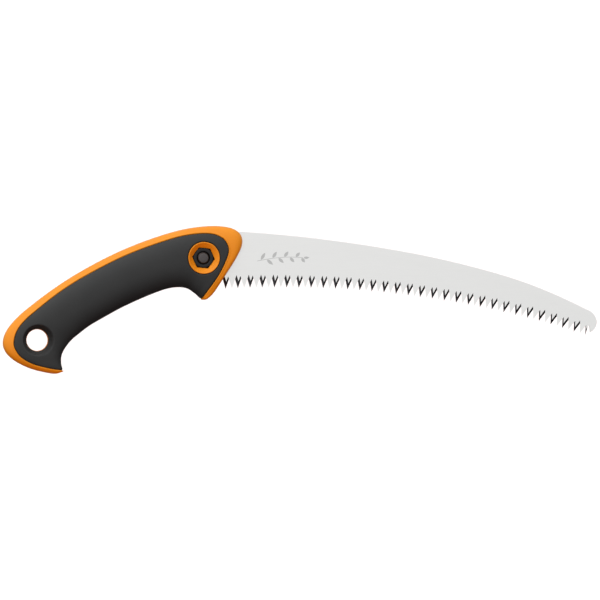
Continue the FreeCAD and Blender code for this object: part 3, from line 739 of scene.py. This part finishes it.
# -------------------------------------------------------------------- blade
def smooth_path(pts, step):
    """Points along a cubic curve through pts, about step apart."""
    us = np.concatenate([[0], np.cumsum(np.hypot(*np.diff(np.array(pts, float), axis=0).T))])
    m = max(2, int(round(us[-1] / step)) + 1)
    t = np.linspace(0, us[-1], m)
    return np.stack([Spl(us, [p[0] for p in pts])(t), Spl(us, [p[1] for p in pts])(t)], -1)


def arc3(a, b, c, m):
    (x1, y1), (x2, y2), (x3, y3) = a, b, c
    d = 2 * (x1 * (y2 - y3) + x2 * (y3 - y1) + x3 * (y1 - y2))
    ux = ((x1 ** 2 + y1 ** 2) * (y2 - y3) + (x2 ** 2 + y2 ** 2) * (y3 - y1) + (x3 ** 2 + y3 ** 2) * (y1 - y2)) / d
    uy = ((x1 ** 2 + y1 ** 2) * (x3 - x2) + (x2 ** 2 + y2 ** 2) * (x1 - x3) + (x3 ** 2 + y3 ** 2) * (x2 - x1)) / d
    r = math.hypot(x1 - ux, y1 - uy)
    t = [math.atan2(p[1] - uy, p[0] - ux) for p in (a, b, c)]
    for i in (1, 2):
        while t[i] - t[i - 1] > math.pi:
            t[i] -= 2 * math.pi
        while t[i] - t[i - 1] < -math.pi:
            t[i] += 2 * math.pi
    s = np.linspace(t[0], t[2], m)
    return np.stack([ux + r * np.cos(s), uy + r * np.sin(s)], -1)


def cross_lines(l1, l2):
    (x1, y1), (x2, y2) = l1
    (x3, y3), (x4, y4) = l2
    d = (x1 - x2) * (y3 - y4) - (y1 - y2) * (x3 - x4)
    a = x1 * y2 - y1 * x2
    b = x3 * y4 - y3 * x4
    return ((a * (x3 - x4) - (x1 - x2) * b) / d, (a * (y3 - y4) - (y1 - y2) * b) / d)


def tooth_lines():
    fine = smooth_path(TIPLINE, 0.1)
    acc = np.concatenate([[0], np.cumsum(np.hypot(*np.diff(fine, axis=0).T))])
    pitch = acc[-1] / (TEETH - 1)

    def on(s):
        c = min(max(s, 0.0), acc[-1])
        k = min(max(int(np.searchsorted(acc, c)) - 1, 0), len(acc) - 2)
        e = (fine[k + 1] - fine[k]) / np.linalg.norm(fine[k + 1] - fine[k])
        p = fine[k] + e * (s - acc[k])
        return p, np.array([-e[1], e[0]])

    heel, toe = (17.50, -18.41), (338.70, -58.01)
    gul = []
    for k in range(TEETH - 1):
        p, n = on((k + 0.5 + LEAN) * pitch)
        gul.append(tuple(p + n * TOOTH_H))
    # the gullet before the first whole tooth, just inside the handle
    p, n = on((LEAN - 0.5) * pitch)
    first = tuple(p + n * TOOTH_H)
    before = (tuple(on(-pitch)[0]), first)
    lines = {"near": [], "far": []}
    for k in range(TEETH):
        tip = tuple(on(k * pitch)[0])
        left = gul[k - 1] if k else first
        right = gul[k] if k < TEETH - 1 else toe
        for face in lines:
            ground = (k % 2 == 0) == (face == "near")
            # the steep flank's bevel narrows toward the tip of the blade; the last tooth is short
            f = k / (TEETH - 1)
            full = 1.0 if k < TEETH - 1 else 0.5
            for a, b, wide in ((left, tip, BEVEL_L * (1 - 0.62 * f)), (tip, right, BEVEL_R * (1 + 0.15 * f))):
                L = dist(a, b)
                w = wide * full if ground else 0.0
                n = (-(b[1] - a[1]) / L * w, (b[0] - a[0]) / L * w)
                lines[face].append(((a[0] + n[0], a[1] + n[1]), (b[0] + n[0], b[1] + n[1])))
    out = {}
    for face, ls in lines.items():
        pts = [np.array(heel), np.array(cross_lines(ls[0], before))]
        for i in range(len(ls) - 1):
            pts.append(np.array(cross_lines(ls[i], ls[i + 1])))
        pts.append(np.array(toe))
        # tips stay sharp; gullets, and the corners that the grinding leaves, are a little round
        path = [pts[0]]
        for i in range(1, len(pts) - 1):
            p = pts[i]
            if i % 2 == 0:
                path.append(p)
                continue
            for t in (0.0, 0.25, 0.5, 0.75, 1.0):
                a = p + (pts[i - 1] - p) / np.linalg.norm(pts[i - 1] - p) * 0.45
                b = p + (pts[i + 1] - p) / np.linalg.norm(pts[i + 1] - p) * 0.45
                path.append(a * (1 - t) ** 2 + p * 2 * t * (1 - t) + b * t ** 2)
        path.append(pts[-1])
        out[face] = np.array(path)
    return out


def leaf(cx, cy, length, wide, turn, m=14):
    """Outline of one leaf, from its foot at (cx, cy)."""
    t = np.linspace(0, 1, m)
    w = wide * np.sin(math.pi * t ** 0.85) ** 0.9
    up = np.stack([length * t, w], -1)
    dn = np.stack([length * t, -w], -1)[::-1]
    p = np.vstack([up[:-1], dn[:-1]])
    c, s_ = math.cos(turn), math.sin(turn)
    return np.stack([cx + p[:, 0] * c - p[:, 1] * s_, cy + p[:, 0] * s_ + p[:, 1] * c], -1)


def sprig():
    """A plain etched ornament: a curved stem with leaves."""
    xs = np.linspace(48, 88, 40)
    ys = -3.4 + 4.2 * np.sin((xs - 44) / 40 * 1.9)
    up = np.stack([xs, ys + 0.22], -1)
    dn = np.stack([xs, ys - 0.22], -1)[::-1]
    shapes = [np.vstack([up, dn])]
    for k, x in enumerate(np.linspace(51, 86.5, 8)):
        y = -3.4 + 4.2 * math.sin((x - 44) / 40 * 1.9)
        sl = math.atan(4.2 * 1.9 / 40 * math.cos((x - 44) / 40 * 1.9))
        side = 1 if k % 2 == 0 else -1
        turn = sl + side * 0.85
        shapes.append(leaf(x + 0.55 * math.cos(turn), y + 0.55 * math.sin(turn), 7.2 - 0.35 * k, 1.35, turn))
    shapes.append(leaf(88.6, ys[-1], 5.0, 1.0, 0.02))
    return shapes


def make_blade():
    T, C = BLADE_T / 2, 0.16
    teeth = tooth_lines()
    px, py = -64.5, -15.05
    ang = math.atan2(py, px)
    nx, ny = math.cos(ang), math.sin(ang)
    R = 3.05
    rear = ((-69.00, -8.12), (-72.10, -16.43))
    low = ((-72.10, -16.43), (-68.00, -24.35))
    sa, sb = (px + ny * R, py - nx * R), (px - ny * R, py + nx * R)
    if dist(sa, (-69.00, -8.12)) > dist(sb, (-69.00, -8.12)):
        sa, sb = sb, sa
    ea = cross_lines((sa, (sa[0] + nx, sa[1] + ny)), rear)
    eb = cross_lines((sb, (sb[0] + nx, sb[1] + ny)), rear)
    lower = rear
    if eb[1] < -16.43:
        eb = cross_lines((sb, (sb[0] + nx, sb[1] + ny)), low)
        lower = low
    parts = [arc3((338.70, -58.01), (339.90, -61.97), (339.73, -64.65), 12),
             smooth_path(ROUND[::-1], 0.45), smooth_path(SPINE[::-1], 2.2),
             np.array([(32.00, 22.77)]), smooth_path([(32.00, 22.77), (23.50, 21.98), (15.50, 18.81), (9.50, 14.45), (1.50, 11.78), (-8.50, 9.50)], 1.5),
             arc3((-60.50, -3.96), (-65.50, -5.64), (-69.00, -8.12), 8),
             np.array([ea, sa]), arc3(sa, (px - nx * R, py - ny * R), sb, 16), np.array([sb, eb])]
    if lower is rear:
        parts.append(np.array([(-72.10, -16.43)]))
    parts += [np.array([(-68.00, -24.35), (-59.50, -26.33)]),
              smooth_path([(-6.50, -14.26), (3.50, -13.46), (10.00, -16.24), (14.50, -19.11)], 1.5), np.array([(17.50, -18.41)])]
    c = np.vstack(parts)
    keep = np.concatenate([[True], np.hypot(*np.diff(c, axis=0).T) > 0.02])
    c = c[keep]
    # inward normals of the plain outline, and how much of the chamfer there is
    tan = np.gradient(c, axis=0)
    tan /= np.linalg.norm(tan, axis=1)[:, None]
    nrm = np.stack([-tan[:, 1], tan[:, 0]], -1)
    run = np.concatenate([[0], np.cumsum(np.hypot(*np.diff(c, axis=0).T))])
    w = np.clip(np.minimum(run, run[-1] - run) / 1.6, 0, 1)
    ins = c + nrm * (C * w)[:, None]
    assert within(np.vstack([teeth["near"], c[1:-1]]), c[60] + nrm[60] * 0.5)
    hole = circle(0, 0, 5.25, 72)
    V_, F, M_ = [], [], []

    def add(p, z):
        base = len(V_)
        for k, q in enumerate(p):
            V_.append((q[0], q[1], z if np.isscalar(z) else z[k]))
        return base

    nt, nc, nh = len(teeth["near"]), len(c), len(hole)
    tn, tf = add(teeth["near"], T), add(teeth["far"], -T)
    levels = [add(ins, T), add(c, T - C * w), add(c, -T + C * w), add(ins, -T)]
    hn, hf = add(hole, T), add(hole, -T)

    def sheet(t0, c0, h0, motif, z, flip):
        ids = [t0 + k for k in range(nt)] + [c0 + k for k in range(1, nc - 1)]
        loop = np.array([V_[i][:2] for i in ids])
        pts = [Vector(p) for p in loop]
        e = [(k, (k + 1) % len(ids)) for k in range(len(ids))]
        m = len(ids)
        ids = ids + [h0 + k for k in range(nh)]
        pts += [Vector(p) for p in hole]
        e += [(m + k, m + (k + 1) % nh) for k in range(nh)]
        for shape in motif:
            m = len(ids)
            for q in shape:
                V_.append((q[0], q[1], z))
                ids.append(len(V_) - 1)
                pts.append(Vector(q))
            e += [(m + k, m + (k + 1) % len(shape)) for k in range(len(shape))]
        out = delaunay_2d_cdt(pts, e, [], 0, 1e-6, True)
        back = []
        for k, orig in enumerate(out[3]):
            if orig:
                back.append(ids[orig[0]])
            else:
                V_.append((out[0][k][0], out[0][k][1], z))
                back.append(len(V_) - 1)
        cen = np.array([np.mean([out[0][i][:] for i in f], axis=0) for f in out[2]])
        ok = within(loop, cen) & (np.hypot(cen[:, 0], cen[:, 1]) > 5.25)
        mark = np.zeros(len(cen), bool)
        for shape in motif:
            near_it = ok & (cen[:, 0] > shape[:, 0].min() - 1) & (cen[:, 0] < shape[:, 0].max() + 1)
            idx = np.nonzero(near_it)[0]
            if len(idx):
                mark[idx] |= within(shape, cen[idx])
        for k, f in enumerate(out[2]):
            if ok[k]:
                f = [back[i] for i in f]
                F.append(tuple(reversed(f)) if flip else tuple(f))
                M_.append(3 if mark[k] else 0)

    sheet(tn, levels[0], hn, sprig(), T, False)
    sheet(tf, levels[3], hf, [], -T, True)
    for k in range(nt - 1):
        F.append((tn + k, tn + k + 1, tf + k + 1, tf + k))
        M_.append(1)
    for a, b in zip(levels[:-1], levels[1:]):
        for k in range(nc - 1):
            F.append((a + k, a + k + 1, b + k + 1, b + k))
            M_.append(2)
    for k in range(nh):
        F.append((hn + (k + 1) % nh, hn + k, hf + k, hf + (k + 1) % nh))
        M_.append(2)
    me = bpy.data.meshes.new("saw_blade")
    me.from_pydata([tuple(v) for v in to_frame(np.array(V_))], [], F)
    for p, m in zip(me.polygons, M_):
        p.material_index = m
        p.use_smooth = True
    bm = bmesh.new()
    bm.from_mesh(me)
    bmesh.ops.remove_doubles(bm, verts=bm.verts, dist=2e-6)
    bmesh.ops.dissolve_degenerate(bm, dist=1e-7, edges=bm.edges)
    bmesh.ops.recalc_face_normals(bm, faces=bm.faces)
    bm.to_mesh(me)
    bm.free()
    me.set_sharp_from_angle(angle=math.radians(12))
    ob = bpy.data.objects.new("saw_blade", me)
    bpy.context.scene.collection.objects.link(ob)
    return ob


# ------------------------------------------------------------- nut and bolt
def rings_mesh(name, rings, close, sharp, x=0.0, y=0.0):
    """A closed skin through rings of equal count; close joins the last to the first."""
    n = len(rings[0])
    V_ = [tuple(p) for r in rings for p in r]
    F = []
    m = len(rings)
    for k in range(m if close else m - 1):
        a, b = k * n, ((k + 1) % m) * n
        for i in range(n):
            j = (i + 1) % n
            F.append((a + i, a + j, b + j, b + i))
    if not close:
        for k, flip in ((0, True), (m - 1, False)):
            c = np.mean(rings[k], axis=0)
            V_.append(tuple(c))
            for i in range(n):
                j = (i + 1) % n
                t = (k * n + i, k * n + j, len(V_) - 1)
                F.append(tuple(reversed(t)) if flip else t)
    P = np.array(V_)
    P[:, 0] += x
    P[:, 1] += y
    return mesh_from(name, to_frame(P), F, sharp=sharp)


def ring(r, z, phi):
    r, z = np.broadcast_to(r, phi.shape), np.broadcast_to(z, phi.shape)
    return np.stack([r * np.cos(phi), r * np.sin(phi), z], -1)


def make_nut():
    phi = math.radians(NUT_TURN) + np.arange(288) * 2 * math.pi / 288
    hr = hex_r(phi, 17.0, NUT_TURN)
    # corners very slightly round
    hr = np.minimum(hr, 9.72)
    rc = 8.15
    lo, hi, k = 3.1, 9.0, math.tan(math.radians(30))
    drop = np.maximum(hr - rc, 0) * k
    rr = [ring(5.03, lo + 0.65, phi), ring(5.75, lo, phi), ring(rc - 0.1, lo, phi), ring(rc + 0.12, lo + 0.05, phi),
          ring(hr - 0.06, lo + drop - 0.02, phi), ring(hr, lo + drop + 0.06, phi),
          ring(hr, (lo + hi) / 2, phi), ring(hr, hi - drop - 0.06, phi), ring(hr - 0.06, hi - drop + 0.02, phi),
          ring(rc + 0.12, hi - 0.05, phi), ring(rc - 0.1, hi, phi), ring(6.1, hi, phi), ring(5.95, hi - 0.04, phi),
          ring(5.03, hi - 0.95, phi)]
    return rings_mesh("hex_nut", rr, True, 24)


def make_bolt():
    n = 144
    phi = np.arange(n) * 2 * math.pi / n
    crest, depth, pitch, end = 4.97, 0.85, 1.5, 9.3
    rr = []
    # socket floor, socket wall, head face, head side, seat
    hx = hex_r(phi, 7.0, 0.0)
    rr.append(ring(hx * 0.02, -7.55, phi))
    rr.append(ring(hx * 0.97, -8.0, phi))
    rr.append(ring(hx, -8.1, phi))
    rr.append(ring(hx, -12.0, phi))
    rr.append(ring(np.maximum(hx, 4.0), -12.26, phi))
    rr.append(ring(4.35, -12.3, phi))
    rr.append(ring(7.35, -12.3, phi))
    rr.append(ring(7.75, -12.19, phi))
    rr.append(ring(7.94, -11.95, phi))
    rr.append(ring(8.0, -11.6, phi))
    # fine straight knurl round the head
    kn = 8.0 - 0.14 * (0.5 + 0.5 * np.cos(phi * 48))
    rr.append(ring(kn, -11.4, phi))
    rr.append(ring(kn, -7.7, phi))
    rr.append(ring(8.0, -7.5, phi))
    rr.append(ring(7.9, -7.15, phi))
    rr.append(ring(7.7, -7.1, phi))
    rr.append(ring(5.3, -7.1, phi))
    rr.append(ring(5.0, -6.9, phi))
    rr.append(ring(crest, -6.7, phi))
    z = -1.6
    while z < end - 0.02:
        ph = np.mod(z / pitch - phi / (2 * math.pi), 1.0)
        tri = np.clip(1.0 - np.abs(ph * 2 - 1) * 1.25, 0, 1)
        d = depth * tri * min(1.0, max(0.0, (z + 1.6) / 1.2))
        top = crest - max(0.0, z - (end - 0.95)) * 1.0
        rr.append(ring(np.minimum(crest - d, top), z, phi))
        z += 0.125
    rr.append(ring(crest - 0.98, end - 0.02, phi))
    rr.append(ring(crest - 1.05, end, phi))
    rr.append(ring(1.2, end, phi))
    return rings_mesh("bolt_m10", rr, False, 30)


blade_ob = make_blade()
nut_ob = make_nut()
bolt_ob = make_bolt()
for ob, node, body in ((blade_ob, "blade", "saw"), (nut_ob, "blade_nut", "saw"), (bolt_ob, "blade_bolt", "bolt")):
    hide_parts(node)
    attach(ob, body)


# ---------------------------------------------------------------- materials
class Mat:
    """A node material under construction."""

    def __init__(self, name, **sockets):
        self.m = bpy.data.materials.new(name)
        self.m.use_nodes = True
        self.t = self.m.node_tree
        self.b = self.t.nodes["Principled BSDF"]
        for k, v in sockets.items():
            self.b.inputs[k.replace("_", " ")].default_value = v
        self.geo = None

    def node(self, kind, **props):
        n = self.t.nodes.new(kind)
        for k, v in props.items():
            setattr(n, k, v)
        return n

    def link(self, a, b):
        self.t.links.new(a, b)

    def coords(self, scale=(1, 1, 1), rot=(0, 0, 0)):
        tc = self.node("ShaderNodeTexCoord")
        mp = self.node("ShaderNodeMapping")
        mp.inputs["Scale"].default_value = scale
        mp.inputs["Rotation"].default_value = rot
        self.link(tc.outputs["Object"], mp.inputs["Vector"])
        return mp.outputs["Vector"]

    def noise(self, scale, detail=4.0, rough=0.55, vec=None, dist=0.0):
        n = self.node("ShaderNodeTexNoise")
        n.inputs["Scale"].default_value = scale
        n.inputs["Detail"].default_value = detail
        n.inputs["Roughness"].default_value = rough
        n.inputs["Distortion"].default_value = dist
        self.link(vec or self.coords(), n.inputs["Vector"])
        return n.outputs["Fac"]

    def ramp(self, fac, stops):
        r = self.node("ShaderNodeValToRGB")
        el = r.color_ramp.elements
        while len(el) > 1:
            el.remove(el[-1])
        el[0].position, el[0].color = stops[0][0], (*stops[0][1], 1)
        for p, c in stops[1:]:
            e = el.new(p)
            e.color = (*c, 1)
        self.link(fac, r.inputs["Fac"])
        return r.outputs["Color"]

    def math(self, op, a, b=None, c=None, clamp=False):
        n = self.node("ShaderNodeMath", operation=op, use_clamp=clamp)
        for i, v in enumerate((a, b, c)):
            if v is None:
                continue
            if isinstance(v, (int, float)):
                n.inputs[i].default_value = v
            else:
                self.link(v, n.inputs[i])
        return n.outputs[0]

    def mix(self, fac, a, b):
        n = self.node("ShaderNodeMix", data_type="RGBA")
        for key, v in ((0, fac), (6, a), (7, b)):
            if isinstance(v, (int, float)):
                n.inputs[key].default_value = v
            elif isinstance(v, tuple):
                n.inputs[key].default_value = (*v, 1)
            else:
                self.link(v, n.inputs[key])
        return n.outputs[2]

    def bump(self, height, strength, distance, under=None):
        n = self.node("ShaderNodeBump")
        n.inputs["Strength"].default_value = strength
        n.inputs["Distance"].default_value = distance
        self.link(height, n.inputs["Height"])
        if under is not None:
            self.link(under, n.inputs["Normal"])
        return n.outputs["Normal"]

    def done(self, color=None, rough=None, normal=None, metal=None):
        for key, v in (("Base Color", color), ("Roughness", rough), ("Normal", normal), ("Metallic", metal)):
            if v is not None:
                self.link(v, self.b.inputs[key])
        return self.m


def orange_plastic():
    m = Mat("orange_nylon", Specular_IOR_Level=0.26, Coat_Weight=0.0)
    cloud = m.noise(28, 3)
    fine = m.noise(900, 2, 0.6)
    color = m.ramp(cloud, [(0.3, (0.715, 0.226, 0.003)), (0.7, (0.755, 0.250, 0.006))])
    specks = m.math("GREATER_THAN", m.noise(2200, 1), 0.66)
    color = m.mix(m.math("MULTIPLY", specks, 0.10), color, (0.76, 0.27, 0.02))
    scuff = m.ramp(m.noise(60, 6, 0.7, m.coords((1, 0.25, 1), (0, 0, 0.5))), [(0.60, (0, 0, 0)), (0.72, (1, 1, 1))])
    rough = m.math("ADD", m.math("MULTIPLY", fine, 0.14), 0.34)
    rough = m.math("ADD", rough, m.math("MULTIPLY", scuff, 0.08), clamp=True)
    grain = m.bump(fine, 0.16, 0.00012)
    grain = m.bump(m.noise(2600, 2), 0.10, 0.00006, grain)
    return m.done(color, rough, grain)


def soft_black():
    m = Mat("black_soft", Specular_IOR_Level=0.48, Sheen_Weight=0.03, Sheen_Roughness=0.5)
    m.b.inputs["Sheen Tint"].default_value = (0.72, 0.74, 0.8, 1)
    cloud = m.noise(35, 4)
    color = m.ramp(cloud, [(0.3, (0.0082, 0.0090, 0.0093)), (0.7, (0.0120, 0.0129, 0.0130))])
    dust = m.ramp(m.noise(420, 5, 0.75), [(0.62, (0, 0, 0)), (0.80, (1, 1, 1))])
    color = m.mix(m.math("MULTIPLY", dust, 0.05), color, (0.12, 0.115, 0.105))
    fine = m.noise(1500, 3, 0.65)
    rough = m.math("ADD", m.math("MULTIPLY", fine, 0.16), 0.52)
    grain = m.bump(fine, 0.30, 0.00010)
    grain = m.bump(m.noise(480, 2), 0.10, 0.00010, grain)
    return m.done(color, rough, grain)


def steel(name, color, dark, rough0, grain_scale=(1, 1, 1), coarse=700, metallic=1.0, bump=0.12):
    m = Mat(name, Metallic=metallic)
    streak = m.noise(coarse, 5, 0.6, m.coords(grain_scale))
    cloud = m.noise(55, 4)
    col = m.mix(m.math("MULTIPLY", streak, 0.5), color, dark)
    col = m.mix(m.math("MULTIPLY", cloud, 0.25), col, dark)
    rough = m.math("ADD", m.math("MULTIPLY", streak, 0.18), rough0, clamp=True)
    return m.done(col, rough, m.bump(streak, bump, 0.00004))


MAT_ORANGE = orange_plastic()
MAT_BLACK = soft_black()
MAT_NUT = steel("black_oxide", (0.036, 0.035, 0.036), (0.018, 0.018, 0.019), 0.30, coarse=900)
MAT_BOLT = steel("bolt_steel", (0.105, 0.095, 0.095), (0.055, 0.050, 0.050), 0.34, coarse=1100)
MAT_ZINC = steel("zinc_steel", (0.66, 0.67, 0.66), (0.45, 0.46, 0.47), 0.28, coarse=800)


def blade_flat(name, color, dark, rough0, streaks, spec_dirt=0.06):
    """Brushed blade steel; the brush lines run along the blade."""
    m = Mat(name, Metallic=1.0)
    fine = m.noise(1400, 6, 0.62, m.coords((0.035, 1.0, 1.0), (0, 0, 0.10)))
    wide = m.noise(260, 4, 0.6, m.coords((0.05, 1.0, 1.0), (0, 0, 0.14)))
    cloud = m.noise(8, 3)
    spots = m.ramp(m.noise(170, 6, 0.7), [(0.66, (0, 0, 0)), (0.80, (1, 1, 1))])
    col = m.mix(m.math("MULTIPLY", fine, streaks), color, dark)
    col = m.mix(m.math("MULTIPLY", wide, 0.12), col, dark)
    col = m.mix(m.math("MULTIPLY", cloud, 0.12), col, dark)
    col = m.mix(m.math("MULTIPLY", spots, spec_dirt), col, (0.35, 0.34, 0.33))
    rough = m.math("ADD", m.math("MULTIPLY", fine, 0.12), rough0, clamp=True)
    return m.done(col, rough, m.bump(fine, 0.06, 0.00003))


def blade_ground():
    """Ground and impulse-hardened bevels, with grinding lines across the edge; their near-black colour is a painted
    dark reflection.
    """
    m = Mat("ground_bevels", Metallic=1.0)
    lines_ = m.noise(2600, 4, 0.6, m.coords((1.0, 0.12, 1.0)))
    cloud = m.noise(300, 3)
    # near-black base colours: painted dark reflection on the tooth bevels, darker than the steel's own tone
    col = m.mix(lines_, (0.030, 0.031, 0.036), (0.085, 0.083, 0.082))
    col = m.mix(m.math("MULTIPLY", cloud, 0.3), col, (0.05, 0.05, 0.07))
    rough = m.math("ADD", m.math("MULTIPLY", lines_, 0.15), 0.30, clamp=True)
    return m.done(col, rough, m.bump(lines_, 0.12, 0.00003))


MAT_BLADE = blade_flat("blade_steel", (0.80, 0.80, 0.79), (0.675, 0.675, 0.668), 0.26, 0.35)
MAT_GROUND = blade_ground()
MAT_EDGE = blade_flat("blade_edge", (0.78, 0.78, 0.78), (0.55, 0.55, 0.55), 0.34, 0.5)
MAT_ETCH = blade_flat("blade_etched", (0.56, 0.56, 0.555), (0.46, 0.46, 0.46), 0.50, 0.3)


def paint(ob, *mats):
    ob.data.materials.clear()
    for mat in mats:
        ob.data.materials.append(mat)


paint(cores[True], MAT_ORANGE)
paint(cores[False], MAT_ORANGE)
paint(grip, MAT_BLACK)
idx = [p.material_index for p in blade_ob.data.polygons]
paint(blade_ob, MAT_BLADE, MAT_GROUND, MAT_EDGE, MAT_ETCH)
for p, i in zip(blade_ob.data.polygons, idx):
    p.material_index = i
paint(nut_ob, MAT_NUT)
paint(bolt_ob, MAT_BOLT)
for n in ("head_washer", "lock_washer", "sleeve_near", "sleeve_far", "tang_pin", "core_screws"):
    paint(nodes[n], MAT_ZINC)
    bev = nodes[n].modifiers.new("soft_edges", "BEVEL")
    bev.width = 0.00008
    bev.segments = 2
    bev.limit_method = "ANGLE"
    bev.angle_limit = math.radians(40)


# ------------------------------------------------------------ floor and light
def make_floor():
    z = CAD_BOX[0][2] - 0.12
    bm = bmesh.new()
    bmesh.ops.create_grid(bm, x_segments=8, y_segments=8, size=3.0)
    me = bpy.data.meshes.new("floor")
    bm.to_mesh(me)
    bm.free()
    ob = bpy.data.objects.new("floor", me)
    ob.location = (0.23, 0.03, z)
    bpy.context.scene.collection.objects.link(ob)
    m = Mat("floor_white", Roughness=0.9, Specular_IOR_Level=0.1)
    col = m.ramp(m.noise(3, 3), [(0.3, (0.93, 0.93, 0.93)), (0.7, (0.95, 0.95, 0.95))])
    me.materials.append(m.done(col))
    ob.visible_diffuse = False
    ob.visible_glossy = False
    return ob


def area(name, loc, target, size, power, color=(1, 1, 1)):
    li = bpy.data.lights.new(name, "AREA")
    li.shape = "RECTANGLE"
    li.size, li.size_y = size
    li.energy = power
    li.color = color
    ob = bpy.data.objects.new(name, li)
    ob.location = loc
    ob.rotation_euler = (Vector(target) - Vector(loc)).to_track_quat("-Z", "Y").to_euler()
    bpy.context.scene.collection.objects.link(ob)
    return ob


make_floor()
mid = (0.2, 0.03, 0.0)
area("key", (-0.55, 1.15, 1.15), mid, (1.3, 0.7), 1.6)
fill = area("fill", (0.3, -1.3, 0.55), mid, (1.8, 0.8), 6.4, (1.0, 0.15, 0.01))
fill.visible_glossy = False
area("top", (0.0, 0.15, 2.4), mid, (1.3, 1.3), 0.3)
table = area("table", (0.23, 0.03, -0.10), (0.23, 0.03, -1.0), (2.4, 2.4), 5.0)
table.visible_camera = False
table.visible_glossy = False


def make_world():
    """White surroundings, brighter from the top left of the view, dimmer from below."""
    world = bpy.data.worlds.new("studio")
    bpy.context.scene.world = world
    world.use_nodes = True
    t = world.node_tree
    bg = t.nodes["Background"]
    tc = t.nodes.new("ShaderNodeTexCoord")
    dot = t.nodes.new("ShaderNodeVectorMath")
    dot.operation = "DOT_PRODUCT"
    dot.inputs[1].default_value = Vector((-0.36, 0.81, 0.46)).normalized()
    t.links.new(tc.outputs["Generated"], dot.inputs[0])
    mr = t.nodes.new("ShaderNodeMapRange")
    mr.inputs["From Min"].default_value = -1.0
    mr.inputs["From Max"].default_value = 1.0
    t.links.new(dot.outputs["Value"], mr.inputs["Value"])
    cr = t.nodes.new("ShaderNodeFloatCurve")
    cv = cr.mapping.curves[0]
    pts = [(0.0, 0.02), (0.3, 0.05), (0.5, 0.22), (0.62, 0.38), (0.72, 0.475), (0.88, 0.68), (1.0, 1.25)]
    cv.points[0].location = pts[0]
    cv.points[1].location = pts[-1]
    for p in pts[1:-1]:
        cv.points.new(*p)
    cr.mapping.clip_max_y = 2.0
    cr.mapping.update()
    t.links.new(mr.outputs["Result"], cr.inputs["Value"])
    mul = t.nodes.new("ShaderNodeMath")
    mul.operation = "MULTIPLY"
    mul.inputs[1].default_value = 2.16
    t.links.new(cr.outputs["Value"], mul.inputs[0])
    t.links.new(mul.outputs["Value"], bg.inputs["Strength"])
    bg.inputs["Color"].default_value = (1, 1, 1, 1)


make_world()
sc = bpy.context.scene
sc.view_settings.view_transform = "Standard"
sc.view_settings.look = "None"
sc.view_settings.exposure = 0.0
sc.view_settings.gamma = 1.0
